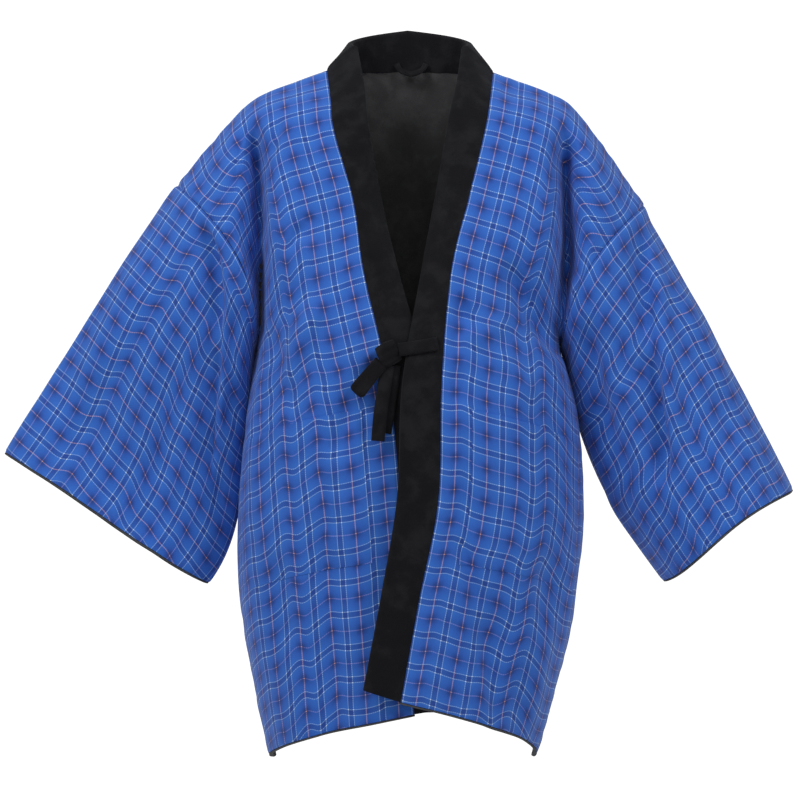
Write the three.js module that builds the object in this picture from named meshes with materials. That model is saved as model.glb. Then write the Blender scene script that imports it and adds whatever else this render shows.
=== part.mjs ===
// A padded hanten, filled out as if worn and held at the nape. Millimetres, +Z up, the front faces -Y.
// Left and right are the wearer's: left is +X, and the left front laps over the right one. The tables
// are measured from a point on the torso's upright middle line; the nape is moved to the origin at the end.
import * as THREE from "three";

// Cloth
const SHELL = 3.0; // plaid shell with half of the wadding
const LINING = 2.4; // black fleece with the other half
const GAP = 0.3; // between pieces
const ROLL = 2.5; // the lining shows this far past the shell at hem and cuffs
const SLEEVE_ROUND = 582; // distance round a sleeve at the armhole
const CUFF_ROUND = 636; // and at the cuff
const BAND = 8; // thickness of the folded collar band
const BAND_CLEAR = 0.9; // from the seam line to the band, which turns upright at the neck
const BAND_PROUD = 1; // the band stands this far out of the panels
const POCKET = { wall: 2.6, proud: 0.5 };
const NAPE = new THREE.Vector3(0, 72, 8); // the back of the neck seam, in the tables' frame

// Grid lines
const YOKE_ROWS = 8; // rows from the shoulder to the underarm
const UNDERARM = 4; // row of the tables where the armhole ends
const HEM = 8; // last row of the tables
const NECK_COLUMNS = 4; // from the nape to the side of the neck
const BACK_COLUMNS = 7; // from the side of the neck to the armhole
const NECK_SHARE = 0.32; // of a back row's half, taken by the neck at the top
const SLEEVE_RINGS = 9;
const SHOULDER_ROWS = 2; // over which the back comes away from the shoulder seam's own line
const BACK_POWER = 2.6; // the tightest bend of a back row

// Each row is a section across one side of the body, from the shoulder ridge to the hem. seam is where the
// collar band is sewn on, front and back are the corners that the row bends round before it reaches the
// side, power says how tightly (2 is round), side is the side seam, and band leads from the seam to the
// band's free edge. Above the underarm the side is the armhole, so it has no column there.
const LEFT = {
  side: 1,
  armhole: { top: [284, 0, -160], bottom: [182, 0, -328], front_shift: 24 },
  cuff: { top: [457, -14, -500], bottom: [306, -14, -632], underside: [[206, 0, -405], [238, -8, -520]] },
  rows: [
    { seam: [102, 12, 3], front: [197, 5, -33], back: [190, 70, -4], power: 4, band: [-36, -8, 30] },
    { seam: [96, -35, -38], front: [192, -42, -52], back: [188, 88, -50], power: 3, band: [-39, 4, 22] },
    { seam: [89, -62, -76], front: [188, -76, -92], back: [184, 102, -105], power: 2.6, band: [-43, 6, 13] },
    { seam: [68, -95, -161], front: [184, -108, -182], back: [182, 112, -195], power: 2.3, band: [-38, 20, 9] },
    { seam: [48, -118, -244], front: [184, -124, -290], back: [182, 116, -295], power: 2, band: [-34, 16, 6],
      side: [182, 0, -328] },
    { seam: [37, -142, -371], front: [200, -139, -405], back: [198, 120, -415], power: 2, band: [-45, -6, -3],
      side: [196, 0, -440] },
    { seam: [33, -148, -508], front: [207, -144, -532], back: [206, 123, -540], power: 2, band: [-47, -3, 5],
      side: [206, 0, -560] },
    { seam: [11, -148, -623], front: [196, -146, -646], back: [196, 126, -660], power: 2, band: [-43, -3, 8],
      side: [188, 0, -690] },
    { seam: [-10, -146, -740], front: [158, -146, -778], back: [166, 130, -780], power: 2, band: [-43, -3, 14],
      side: [155, 0, -820] },
  ],
};
const RIGHT = {
  side: -1,
  armhole: { top: [-278, 0, -136], bottom: [-179, 0, -322], front_shift: 30 },
  cuff: { top: [-479, -20, -456], bottom: [-226, -24, -630], underside: [[-204, -4, -400], [-208, -30, -540]] },
  rows: [
    { seam: [-97, 12, 5], front: [-190, 5, -30], back: [-184, 70, -4], power: 4, band: [35, -8, 28] },
    { seam: [-91, -33, -36], front: [-187, -42, -52], back: [-183, 88, -50], power: 3, band: [39, 3, 20] },
    { seam: [-86, -60, -76], front: [-184, -76, -92], back: [-181, 102, -105], power: 2.6, band: [40, 6, 12] },
    { seam: [-62, -90, -162], front: [-180, -106, -182], back: [-179, 112, -195], power: 2.3, band: [32, 22, 8] },
    { seam: [-50, -114, -245], front: [-180, -122, -290], back: [-179, 116, -295], power: 2, band: [40, 12, 4],
      side: [-179, 0, -322] },
    { seam: [-22, -131, -372], front: [-194, -134, -402], back: [-192, 120, -415], power: 2, band: [44, -3, 4],
      side: [-191, 0, -440] },
    { seam: [-8, -131, -508], front: [-204, -136, -532], back: [-202, 123, -540], power: 2, band: [46, 0, 4],
      side: [-202, 0, -560] },
    { seam: [0, -130, -623], front: [-198, -137, -650], back: [-196, 126, -660], power: 2, band: [46, 0, 6],
      side: [-192, 0, -690] },
    { seam: [8, -129, -756], front: [-172, -134, -790], back: [-172, 130, -780], power: 2, band: [46, 0, 8],
      side: [-165, 0, -820] },
  ],
};

// The main folds, as troughs pressed into the panels along a line seen from the front or the back. A
// negative depth is a ridge. An open fold keeps its full depth at its lower end.
const FOLDS = {
  front_left: [
    { from: [190, -48], to: [178, -262], width: 16, depth: 38 },
    { from: [106, -225], to: [160, -340], width: 14, depth: 7 },
    { from: [70, -275], to: [44, -345], width: 12, depth: 6 },
    { from: [80, -600], to: [136, -800], width: 20, depth: 11, open: true },
    { from: [60, -330], to: [120, -300], width: 12, depth: -4 },
  ],
  front_right: [
    { from: [-184, -50], to: [-173, -255], width: 16, depth: 36 },
    { from: [-112, -175], to: [-128, -214], width: 12, depth: 5 },
    { from: [-98, -262], to: [-152, -398], width: 16, depth: -7 },
    { from: [-60, -372], to: [-84, -470], width: 14, depth: 6 },
    { from: [-94, -500], to: [-86, -800], width: 24, depth: 10, open: true },
  ],
  back: [
    { from: [186, -70], to: [178, -270], width: 17, depth: 24 },
    { from: [-183, -70], to: [-175, -265], width: 17, depth: 24 },
    { from: [-96, -430], to: [-88, -830], width: 26, depth: 17, open: true },
    { from: [-8, -470], to: [6, -830], width: 24, depth: 13, open: true },
    { from: [92, -420], to: [84, -830], width: 26, depth: 18, open: true },
    { from: [150, -240], to: [70, -330], width: 20, depth: 8 },
    { from: [-150, -235], to: [-72, -320], width: 20, depth: 8 },
  ],
};

// The pockets' edges, as shares of a front row from the collar seam, and rows of the tables.
const POCKET_EDGES = { across: [0.14, 0.78], down: [5.2, 6.6] };

const vector = (p) => new THREE.Vector3(...p);
const lerp = (a, b, t) => a + (b - a) * t;
const ease = (low, high, x) => THREE.MathUtils.smoothstep(x, low, high);

// Catmull-Rom through one column of a table, where v counts rows from 0.
function along(rows, column, v) {
  const k = Math.min(Math.floor(v), rows.length - 2);
  const t = v - k;
  const value = (i) => [].concat(rows[THREE.MathUtils.clamp(i, 0, rows.length - 1)][column]);
  const [a, b, c, d] = [k - 1, k, k + 1, k + 2].map(value);
  const curve = (a, b, c, d) =>
    0.5 * (2 * b + (c - a) * t + (2 * a - 5 * b + 4 * c - d) * t * t + (3 * b - a - 3 * c + d) * t ** 3);
  return b.map((_, j) => curve(a[j], b[j], c[j], d[j]));
}

// The other half-width of an ellipse of a given length round, by Ramanujan's formula and halving.
function halfWidth(a, length) {
  let [low, high] = [1, length / 4];
  for (let n = 0; n < 30; n++) {
    const b = (low + high) / 2;
    const round = Math.PI * (3 * (a + b) - Math.sqrt((3 * a + b) * (a + 3 * b)));
    if (round > length) high = b;
    else low = b;
  }
  return low;
}

// A ring of a sleeve between its top and bottom points. angle runs from the top over the front.
function ringPoint(top, bottom, shift, angle, length = SLEEVE_ROUND) {
  const middle = top.clone().add(bottom).multiplyScalar(0.5);
  const up = top.clone().sub(bottom).multiplyScalar(0.5);
  const point = middle.addScaledVector(up, Math.cos(angle));
  point.y -= halfWidth(up.length(), length) * Math.sin(angle);
  if (Math.sin(angle) > 0) point.x -= shift * Math.sin(angle) ** 2;
  return point;
}

const armholeAngle = (v) => (v / UNDERARM) * Math.PI;

function armholePoint(body, angle) {
  const { top, bottom, front_shift } = body.armhole;
  return ringPoint(vector(top), vector(bottom), body.side * front_shift, angle);
}

// The outer end of a row: the armhole above the underarm, the side seam below it. facing is 1 in front.
function sidePoint(body, v, facing) {
  if (v <= UNDERARM) return armholePoint(body, facing * armholeAngle(v));
  return vector(along(body.rows.slice(UNDERARM), "side", v - UNDERARM));
}

// A row bends from start to end round a corner: corner + (start - corner)(1 - t)^p + (end - corner) t^p,
// taken at a share of its length.
function bentRow(start, corner, end, power, samples = 64) {
  const points = [];
  const lengths = [0];
  for (let i = 0; i <= samples; i++) {
    const t = i / samples;
    const point = corner.clone();
    point.addScaledVector(start.clone().sub(corner), (1 - t) ** power);
    point.addScaledVector(end.clone().sub(corner), t ** power);
    if (i) lengths.push(lengths[i - 1] + point.distanceTo(points[i - 1]));
    points.push(point);
  }
  return (share) => {
    const target = THREE.MathUtils.clamp(share, 0, 1) * lengths[samples];
    let i = lengths.findIndex((l) => l >= target);
    i = Math.max(1, i);
    const t = (target - lengths[i - 1]) / (lengths[i] - lengths[i - 1]);
    return points[i - 1].clone().lerp(points[i], t);
  };
}

const remembered = new Map();
function once(key, make) {
  if (!remembered.has(key)) remembered.set(key, make());
  return remembered.get(key);
}

function frontRow(body, v) {
  return once(`front ${body.side} ${v}`, () => {
    const [seam, corner] = ["seam", "front"].map((column) => vector(along(body.rows, column, v)));
    return bentRow(seam, corner, sidePoint(body, v, 1), along(body.rows, "power", v)[0]);
  });
}

const ridgePoint = (body, share) => frontRow(body, 0)(share);

// The curve of the neck seam at the back. turn is 0 at the side of the neck and 1 at the nape.
function neckPoint(body, turn) {
  const side = vector(body.rows[0].seam);
  const angle = (turn * Math.PI) / 2;
  return new THREE.Vector3(
    lerp(side.x, NAPE.x, 1 - Math.cos(angle)),
    lerp(side.y, NAPE.y, Math.sin(angle)),
    lerp(side.z, NAPE.z, Math.sin(angle)),
  );
}

function backTop(body, share) {
  if (share <= NECK_SHARE) return neckPoint(body, 1 - share / NECK_SHARE);
  return ridgePoint(body, (share - NECK_SHARE) / (1 - NECK_SHARE));
}

function backRow(body, v) {
  return once(`back ${body.side} ${v}`, () => {
    const corner = vector(along(body.rows, "back", v));
    const middle = new THREE.Vector3(0, corner.y, corner.z);
    if (v < 1) middle.lerp(NAPE, (1 - v) ** 2);
    const power = Math.min(along(body.rows, "power", v)[0], BACK_POWER);
    return bentRow(middle, corner, sidePoint(body, v, -1), power);
  });
}

const TURNING = [20, 80]; // folds fade out where a panel turns to the side, this near the side seam's plane
const FADE = { collar: 0.1, side: 0.16, back: 0.14, rows: 0.8, ends: 0.3 }; // shares over which folds fade in

function foldDepth(folds, point) {
  let depth = 0;
  for (const fold of folds) {
    const [dx, dz] = [fold.to[0] - fold.from[0], fold.to[1] - fold.from[1]];
    const long = Math.hypot(dx, dz);
    const [px, pz] = [point.x - fold.from[0], point.z - fold.from[1]];
    const s = (px * dx + pz * dz) / long ** 2;
    const off = (px * dz - pz * dx) / long;
    const ends = ease(0, FADE.ends, s) * (fold.open ? 1 : ease(0, FADE.ends, 1 - s));
    depth += fold.depth * ends * Math.exp(-((off / fold.width) ** 2));
  }
  return depth;
}

// A point of a front panel: share runs from the collar seam to the side. The folds fade out at the seams.
function frontPoint(body, share, v) {
  const point = frontRow(body, v)(share);
  const folds = FOLDS[body === LEFT ? "front_left" : "front_right"];
  const fade = ease(0, FADE.collar, share) * ease(0, FADE.side, 1 - share) * ease(0, FADE.rows, v);
  point.y += foldDepth(folds, point) * fade * ease(...TURNING, -point.y);
  return point;
}

// A point of the back: share runs from -1 at the right side over 0 in the middle to 1 at the left side.
function backPoint(share, v) {
  const body = share < 0 ? RIGHT : LEFT;
  const part = Math.abs(share);
  const point = backRow(body, v)(part);
  const fade = ease(0, FADE.back, 1 - part) * ease(0, FADE.rows, v);
  point.y -= foldDepth(FOLDS.back, point) * fade * ease(...TURNING, point.y);
  const top = backTop(body, part).sub(backRow(body, 0)(part));
  return point.addScaledVector(top, Math.max(0, 1 - v / SHOULDER_ROWS) ** 2);
}

// The cuff's lower corner is rounded off: how much of the turn it takes, how far it is drawn back as a share
// of the sleeve's length, how far it is lifted, and from where along the sleeve.
const CORNER = { width: 0.13, back: 0.06, lift: 5, from: 0.6 };
const SLEEVE_BULGE = 5; // of the upper fold, halfway to the cuff

// A point of a sleeve: turn runs once round from the top over the front, and w from armhole to cuff.
function sleevePoint(body, turn, w) {
  const angle = turn * 2 * Math.PI;
  const corner = Math.exp(-(((turn - 0.5) / CORNER.width) ** 2)) * ease(CORNER.from, 1, w);
  const reach = w * (1 - corner * CORNER.back);
  const { top, bottom, underside } = body.cuff;
  const line = vector(body.armhole.top).lerp(vector(top), reach);
  line.addScaledVector(new THREE.Vector3(body.side, 0, 0.5), SLEEVE_BULGE * Math.sin(Math.PI * reach));
  const low = new THREE.CubicBezierCurve3(
    vector(body.armhole.bottom), ...underside.map(vector), vector(bottom),
  ).getPoint(reach);
  const shift = body.side * body.armhole.front_shift * (1 - ease(0, 0.5, reach));
  const point = ringPoint(line, low, shift, angle, lerp(SLEEVE_ROUND, CUFF_ROUND, w));
  return point.addScaledVector(line.sub(low).normalize(), CORNER.lift * corner);
}

function steps(low, high, count) {
  return Array.from({ length: count + 1 }, (_, i) => lerp(low, high, i / count));
}

// Lines through the given stops, with a number of equal steps between each two.
function lines(stops, counts) {
  return counts.flatMap((count, i) => steps(stops[i], stops[i + 1], count).slice(i ? 1 : 0));
}

const { across: POCKET_ACROSS, down: POCKET_DOWN } = POCKET_EDGES;
const ROWS = lines([0, UNDERARM, ...POCKET_DOWN, HEM], [YOKE_ROWS, 3, 4, 4]);
const FRONT_SHARES = lines([0, ...POCKET_ACROSS, 1], [2, 9, 3]);
const HALF_BACK = lines([0, NECK_SHARE, 1], [NECK_COLUMNS, BACK_COLUMNS]);
const BACK_SHARES = [...HALF_BACK.slice(1).map((share) => -share).reverse(), ...HALF_BACK];
const RINGS = steps(0, 1, SLEEVE_RINGS);
const TURNS = steps(0, 1, 2 * YOKE_ROWS).slice(0, -1);

// The outward normal of a surface, from its slopes in both directions. wound is 1 or -1.
function normalOf(surface, s, v, wound, limits) {
  const [step, drop] = [0.012, 0.03];
  const inside = (x, [low, high]) => THREE.MathUtils.clamp(x, low, high);
  const [left, right] = [s - step, s + step].map((x) => surface(inside(x, limits.s), v));
  const [above, below] = [v - drop, v + drop].map((x) => surface(s, inside(x, limits.v)));
  return right.sub(left).cross(below.sub(above)).normalize().multiplyScalar(wound);
}

const BODY_LIMITS = { s: [-1, 1], v: [0, HEM] };
const FRONT_LIMITS = { s: [0, 1], v: [0, HEM] };
const TUBE_LIMITS = { s: [-1, 2], v: [0, 1] };
const frontNormal = (body, share, v) =>
  normalOf((s, y) => frontPoint(body, s, y), share, v, -body.side, FRONT_LIMITS);
const backNormal = (share, v) => normalOf(backPoint, share, v, 1, BODY_LIMITS);

// The band's lead at the neck, from the side (turn 0) to the nape (turn 1).
const NECK_BAND = { corner: [-2, -4, 43], nape: [0, -2, 52] };
const NECK_SIDE = [0.25, 0, 1]; // the panels' normal beside the neck
const UNDER_NECK = 0.02; // row just under the neck seam

function bandLead(body, v) {
  return vector(along(body.rows, "band", v));
}

function neckLead(body, turn) {
  const [corner, nape] = [NECK_BAND.corner, NECK_BAND.nape].map(vector);
  corner.x *= body.side;
  return new THREE.QuadraticBezierCurve3(vector(body.rows[0].band), corner, nape).getPoint(turn);
}

// The stations of the collar band from the left hem up, round the neck and down to the right hem. Each has
// its point on the seam, its lead to the free edge and the normal of the panel that it is sewn to.
function bandStations() {
  const front = (body) => ROWS.map((v) => ({
    seam: frontPoint(body, 0, v),
    lead: bandLead(body, v),
    panel: v === 0 ? vector(NECK_SIDE).multiply(new THREE.Vector3(body.side, 1, 1)).normalize() : frontNormal(body, 0, v),
  }));
  const neck = (body) => steps(0, 1, NECK_COLUMNS).slice(1).map((turn) => ({
    seam: neckPoint(body, turn),
    lead: neckLead(body, turn),
    panel: backNormal(body.side * NECK_SHARE * (1 - turn), UNDER_NECK),
  }));
  const stations = [...front(LEFT).reverse(), ...neck(LEFT), ...neck(RIGHT).reverse().slice(1), ...front(RIGHT)];
  stations.forEach((station, i) => {
    const [before, after] = [stations[Math.max(0, i - 1)], stations[Math.min(stations.length - 1, i + 1)]];
    const run = after.seam.clone().sub(before.seam);
    station.normal = run.cross(station.lead).normalize();
    station.mitre = station.normal.clone().add(station.panel).normalize();
  });
  for (let pass = 0; pass < 2; pass++) {
    const before = stations.map((station) => station.mitre.clone());
    stations.slice(1, -1).forEach((station, i) => {
      station.mitre.multiplyScalar(2).add(before[i]).add(before[i + 2]).normalize();
    });
  }
  return stations;
}

const STATIONS = bandStations();

// Along the neck seam, panel and band share the normal of the station that lies there.
function seamNormal(point) {
  const off = (station) => station.seam.distanceTo(point);
  return STATIONS.reduce((a, b) => (off(a) < off(b) ? a : b)).mitre;
}

// The shoulder seam lies in an upright plane, and front and back meet along it.
function ridgeNormal(body, share) {
  if (share <= 0) return seamNormal(ridgePoint(body, 0));
  const step = 0.03;
  const [near, far] = [share - step, share + step].map((s) => ridgePoint(body, s));
  const run = far.sub(near);
  return new THREE.Vector3(-run.z * body.side, 0, run.x * body.side).normalize();
}

const VALLEY = [-0.3, 0.4]; // cosines between two walls' normals, from a deep valley to a shallow one

// Where two walls meet at an armhole they share the normal between theirs, unless the seam is a deep valley.
function armholeNormal(own, other) {
  const shared = own.clone().add(other).normalize();
  return own.lerp(shared, ease(...VALLEY, own.dot(other))).normalize();
}

const sleeveNormal = (body, turn, w) =>
  normalOf((s, y) => sleevePoint(body, s, y), turn, w, body.side, TUBE_LIMITS);

function panelNormal(body, v, facing) {
  return facing > 0 ? frontNormal(body, 1, v) : backNormal(body.side, v);
}

// The normal at the outer edge of a panel: facing is 1 in front and -1 at the back.
function edgeNormal(body, v, facing) {
  if (v >= UNDERARM) return new THREE.Vector3(body.side, 0, 0);
  const turn = (facing * armholeAngle(v)) / (2 * Math.PI);
  return armholeNormal(panelNormal(body, v, facing), sleeveNormal(body, turn, 0));
}

// A grid of points and normals over a panel, with its edges drawn in by half of the gap.
function panelGrid(shares, rows, point, normal, rails) {
  const grid = rows.map((v) => shares.map((s) => ({ p: point(s, v), n: rails(s, v) ?? normal(s, v) })));
  const draw = (cell, toward) => cell.p.addScaledVector(toward.p.clone().sub(cell.p).normalize(), GAP / 2);
  const last = shares.length - 1;
  grid.forEach((row) => {
    draw(row[0], row[1]);
    draw(row[last], row[last - 1]);
  });
  grid[0].forEach((cell, i) => draw(cell, grid[1][i]));
  return grid;
}

function frontGrid(body) {
  return panelGrid(
    FRONT_SHARES, ROWS,
    (s, v) => frontPoint(body, s, v),
    (s, v) => frontNormal(body, s, v),
    (s, v) => {
      if (s === 0) return seamNormal(frontPoint(body, 0, v));
      if (v === 0) return ridgeNormal(body, s);
      return s === 1 ? edgeNormal(body, v, 1) : null;
    },
  );
}

function backGrid() {
  return panelGrid(
    BACK_SHARES, ROWS, backPoint, backNormal,
    (s, v) => {
      const body = s < 0 ? RIGHT : LEFT;
      const part = Math.abs(s);
      if (v === 0 && part <= NECK_SHARE) return seamNormal(backTop(body, part));
      if (v === 0) return ridgeNormal(body, (part - NECK_SHARE) / (1 - NECK_SHARE));
      return part === 1 ? edgeNormal(body, v, -1) : null;
    },
  );
}

function sleeveGrid(body) {
  const grid = RINGS.map((w) => TURNS.map((turn) => ({
    p: sleevePoint(body, turn, w),
    n: sleeveNormal(body, turn, w),
  })));
  grid[0].forEach((cell, i) => {
    const facing = TURNS[i] < 0.5 ? 1 : -1;
    const v = 2 * UNDERARM * (facing > 0 ? TURNS[i] : 1 - TURNS[i]);
    if (i === 0) cell.n = armholeNormal(cell.n, ridgeNormal(body, 1));
    else if (v < UNDERARM) cell.n = armholeNormal(cell.n, panelNormal(body, v, facing));
    cell.p.addScaledVector(grid[1][i].p.clone().sub(cell.p).normalize(), GAP);
  });
  return grid;
}

// The same grid with its last row moved on by a length, for the lining's rolled edge.
function rolledOut(grid, length) {
  const last = grid.length - 1;
  return grid.map((row, j) => row.map((cell, i) => {
    if (j < last) return cell;
    const on = cell.p.clone().sub(grid[last - 1][i].p).normalize();
    return { p: cell.p.clone().addScaledVector(on, length), n: cell.n };
  }));
}

// A closed wall from a grid, between two depths under its outer surface.
function wall(grid, depths, closedRound = false) {
  const [rows, columns] = [grid.length, grid[0].length];
  const positions = [];
  for (const depth of depths) {
    for (const row of grid) {
      for (const { p, n } of row) positions.push(...p.clone().addScaledVector(n, -depth).sub(NAPE).toArray());
    }
  }
  const index = [];
  const at = (layer, j, i) => layer * rows * columns + j * columns + (i % columns);
  const quad = (a, b, c, d) => index.push(a, b, c, a, c, d);
  const cells = closedRound ? columns : columns - 1;
  for (let j = 0; j < rows - 1; j++) {
    for (let i = 0; i < cells; i++) {
      quad(at(0, j, i), at(0, j + 1, i), at(0, j + 1, i + 1), at(0, j, i + 1));
      quad(at(1, j, i), at(1, j, i + 1), at(1, j + 1, i + 1), at(1, j + 1, i));
    }
  }
  for (let i = 0; i < cells; i++) {
    quad(at(0, 0, i), at(0, 0, i + 1), at(1, 0, i + 1), at(1, 0, i));
    quad(at(0, rows - 1, i + 1), at(0, rows - 1, i), at(1, rows - 1, i), at(1, rows - 1, i + 1));
  }
  for (let j = 0; j < rows - 1 && !closedRound; j++) {
    quad(at(0, j + 1, 0), at(0, j, 0), at(1, j, 0), at(1, j + 1, 0));
    quad(at(0, j, columns - 1), at(0, j + 1, columns - 1), at(1, j + 1, columns - 1), at(1, j, columns - 1));
  }
  return facingOut(positions, index);
}

// A geometry whose faces point out: the triangles are turned if the volume comes out negative.
function facingOut(positions, index) {
  const corner = (k) => new THREE.Vector3().fromArray(positions, 3 * index[k]);
  let volume = 0;
  for (let k = 0; k < index.length; k += 3) volume += corner(k).dot(corner(k + 1).cross(corner(k + 2)));
  if (volume < 0) for (let k = 0; k < index.length; k += 3) [index[k], index[k + 1]] = [index[k + 1], index[k]];
  const geometry = new THREE.BufferGeometry();
  geometry.setAttribute("position", new THREE.Float32BufferAttribute(positions, 3));
  geometry.setIndex(index);
  geometry.computeVertexNormals();
  return geometry;
}

// Closed rings of points joined into a tube with flat ends.
function loft(rings) {
  const size = rings[0].length;
  const positions = rings.flat().flatMap((p) => p.clone().sub(NAPE).toArray());
  const index = [];
  for (let j = 0; j < rings.length - 1; j++) {
    for (let i = 0; i < size; i++) {
      const [a, b] = [j * size + i, j * size + ((i + 1) % size)];
      index.push(a, b, b + size, a, b + size, a + size);
    }
  }
  for (let i = 1; i < size - 1; i++) {
    const end = (rings.length - 1) * size;
    index.push(0, i + 1, i, end, end + i, end + i + 1);
  }
  return facingOut(positions, index);
}

// The band's section: across from the seam (0) to the free edge (1), and depth as a share of its thickness.
const BAND_SECTION = [
  { across: 0, depth: 0 }, { across: 0.5, depth: -0.06 }, { across: 0.93, depth: 0.08 }, { across: 1, depth: 0.5 },
  { across: 0.93, depth: 0.92 }, { across: 0.5, depth: 1.04 }, { across: 0, depth: 0.86 },
];

function collar() {
  return loft(STATIONS.map(({ seam, lead, normal, mitre }) => BAND_SECTION.map(({ across, depth }) => {
    const away = across === 0 ? mitre : normal;
    const start = seam.clone().addScaledVector(lead.clone().normalize(), BAND_CLEAR);
    return start.addScaledVector(lead, across).addScaledVector(away, BAND_PROUD - depth * BAND);
  })));
}

// A pocket lies on its panel: the panel's own points between the pocket's edges, moved out.
function pocket(grid) {
  const between = (values, [low, high]) => [values.indexOf(low), values.indexOf(high) + 1];
  const [across, down] = [between(FRONT_SHARES, POCKET_ACROSS), between(ROWS, POCKET_DOWN)];
  const patch = grid.slice(...down).map((row) => row.slice(...across));
  return wall(patch, [-POCKET.proud - POCKET.wall, -POCKET.proud]);
}

// A flat strap along a path. across is the direction of its width at each point.
function strap(path, across, width, thick) {
  const curve = new THREE.CatmullRomCurve3(path.map(vector));
  const count = 3 * (path.length - 1);
  return loft(steps(0, 1, count).map((t) => {
    const wide = vector(across).normalize();
    const flat = curve.getTangent(t).cross(wide).normalize();
    wide.crossVectors(flat, curve.getTangent(t)).normalize();
    const corners = [[-1, -0.5], [-0.75, -1], [0.75, -1], [1, -0.5], [1, 0.5], [0.75, 1], [-0.75, 1], [-1, 0.5]];
    return corners.map(([a, b]) => curve.getPoint(t)
      .addScaledVector(wide, (a * width) / 2)
      .addScaledVector(flat, (b * thick) / 2));
  }));
}

function material(color, roughness) {
  return new THREE.MeshStandardMaterial({ color, roughness, metalness: 0 });
}
const PLAID = material(0x3257bd, 0.75);
const FLEECE = material(0x151517, 0.95);

const hanten = new THREE.Group();
function add(name, geometry, finish) {
  const mesh = new THREE.Mesh(geometry, finish);
  mesh.name = name;
  hanten.add(mesh);
}

const shellDepths = [0, SHELL];
const liningDepths = [SHELL + GAP, SHELL + GAP + LINING];
for (const [name, body] of [["left", LEFT], ["right", RIGHT]]) {
  const front = frontGrid(body);
  const sleeve = sleeveGrid(body);
  add(`front_${name}`, wall(front, shellDepths), PLAID);
  add(`lining_front_${name}`, wall(rolledOut(front, ROLL), liningDepths), FLEECE);
  add(`sleeve_${name}`, wall(sleeve, shellDepths, true), PLAID);
  add(`lining_sleeve_${name}`, wall(rolledOut(sleeve, ROLL), liningDepths, true), FLEECE);
  add(`pocket_${name}`, pocket(front), PLAID);
}
const back = backGrid();
add("back", wall(back, shellDepths), PLAID);
add("lining_back", wall(rolledOut(back, ROLL), liningDepths), FLEECE);
add("collar", collar(), FLEECE);

// The hanger loop: a short tape that droops between its ends on the inside of the band at the nape.
const LOOP = {
  path: [[-14, 61, 17], [-9, 57.5, 9], [4, 56.5, 4], [17, 57.5, 9], [22, 60, 17]],
  across: [0, 0.4, 1],
  width: 7,
  thick: 2.2,
};
add("hanger_loop", strap(LOOP.path, LOOP.across, LOOP.width, LOOP.thick), FLEECE);

// The ties: a strap from under the left front's band to the knot, one bow loop and two hanging tails.
const TIE = { width: 16, thick: 3.6 };
const TIE_PIECES = {
  tie_strap: { path: [[34, -139.4, -329], [12, -140.4, -333], [-11, -140.6, -336.5]], across: [0, 0.28, 1] },
  tie_knot: { path: [[-15.8, -137.4, -334], [-24, -139, -338], [-33, -137, -341]], across: [0.1, 0, 1], width: 24,
    thick: 11 },
  tie_loop: { path: [[-36.6, -131.4, -347], [-47, -132.3, -366], [-56, -133.8, -381], [-60, -137.8, -387],
    [-56, -141.8, -380], [-47, -141.3, -365], [-39, -140.3, -350]], across: [-0.8, 0, 0.6] },
  tie_tail_1: { path: [[-24, -138, -354], [-28, -140.2, -380], [-32.5, -140.6, -412], [-35, -139.4, -441]],
    across: [1, 0, 0.05] },
  tie_tail_2: { path: [[-16, -133.6, -354], [-20, -136.2, -385], [-24.5, -136, -415], [-27.5, -135, -432]],
    across: [1, 0, -0.05] },
};
for (const [name, { path, across, width, thick }] of Object.entries(TIE_PIECES)) {
  add(name, strap(path, across, width ?? TIE.width, thick ?? TIE.thick), FLEECE);
}

export default hanten;
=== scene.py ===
"""Dress a padded hanten: a blue plaid shell, black fleece lining and collar band, patch pockets and a tied bow.

Every form is worked out in millimetres in the frame of the cutting tables below, which stand on an upright line
through the torso, and is put into its mesh in metres with the nape of the neck seam at the origin.
"""
import logging
import math
from dataclasses import dataclass
from enum import Enum

import bpy
import numpy as np
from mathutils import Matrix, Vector


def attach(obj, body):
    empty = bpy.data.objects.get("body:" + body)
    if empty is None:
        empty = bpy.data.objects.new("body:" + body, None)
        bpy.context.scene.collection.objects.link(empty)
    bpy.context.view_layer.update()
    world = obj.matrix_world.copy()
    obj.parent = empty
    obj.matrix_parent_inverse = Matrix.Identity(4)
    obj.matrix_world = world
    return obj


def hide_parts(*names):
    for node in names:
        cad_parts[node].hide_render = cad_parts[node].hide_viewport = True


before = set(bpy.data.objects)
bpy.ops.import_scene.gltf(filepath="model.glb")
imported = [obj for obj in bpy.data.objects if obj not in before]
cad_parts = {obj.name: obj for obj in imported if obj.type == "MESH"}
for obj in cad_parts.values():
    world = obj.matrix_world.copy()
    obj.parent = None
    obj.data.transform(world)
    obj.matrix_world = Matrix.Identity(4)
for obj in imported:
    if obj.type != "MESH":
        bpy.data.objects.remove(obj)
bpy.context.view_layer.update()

log = logging.getLogger("hanten")

Array = np.ndarray

MM = 0.001
NAPE = np.array([0.0, 72.0, 8.0])
BODY = "root"
DRESSED = "_cloth"

SHELL = 3.0
LINING = 2.4
GAP = 0.3
SLEEVE_ROUND = 582.0
CUFF_ROUND = 636.0
UNDERARM = 4
HEM = 8
NECK_SHARE = 0.32
SHOULDER_ROWS = 2
BACK_POWER = 2.6
TURNING = (6.0, 46.0)
FOLD_ENDS = 0.3
HALVINGS = 30
ROW_SAMPLES = 96
LATTICE = 97
LINING_STEP = 2
UNDERARM_REACH = 0.4
SHARP_ANGLE = 55


class Slot(Enum):
    """Names of material slots, which the straps take but do not use."""

    PLAID = "plaid_cotton"
    FLEECE = "black_fleece"
    TAPE = "black_tape"


class Facing(Enum):
    """Which half of the body a panel covers."""

    FRONT = 1
    BACK = -1


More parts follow.
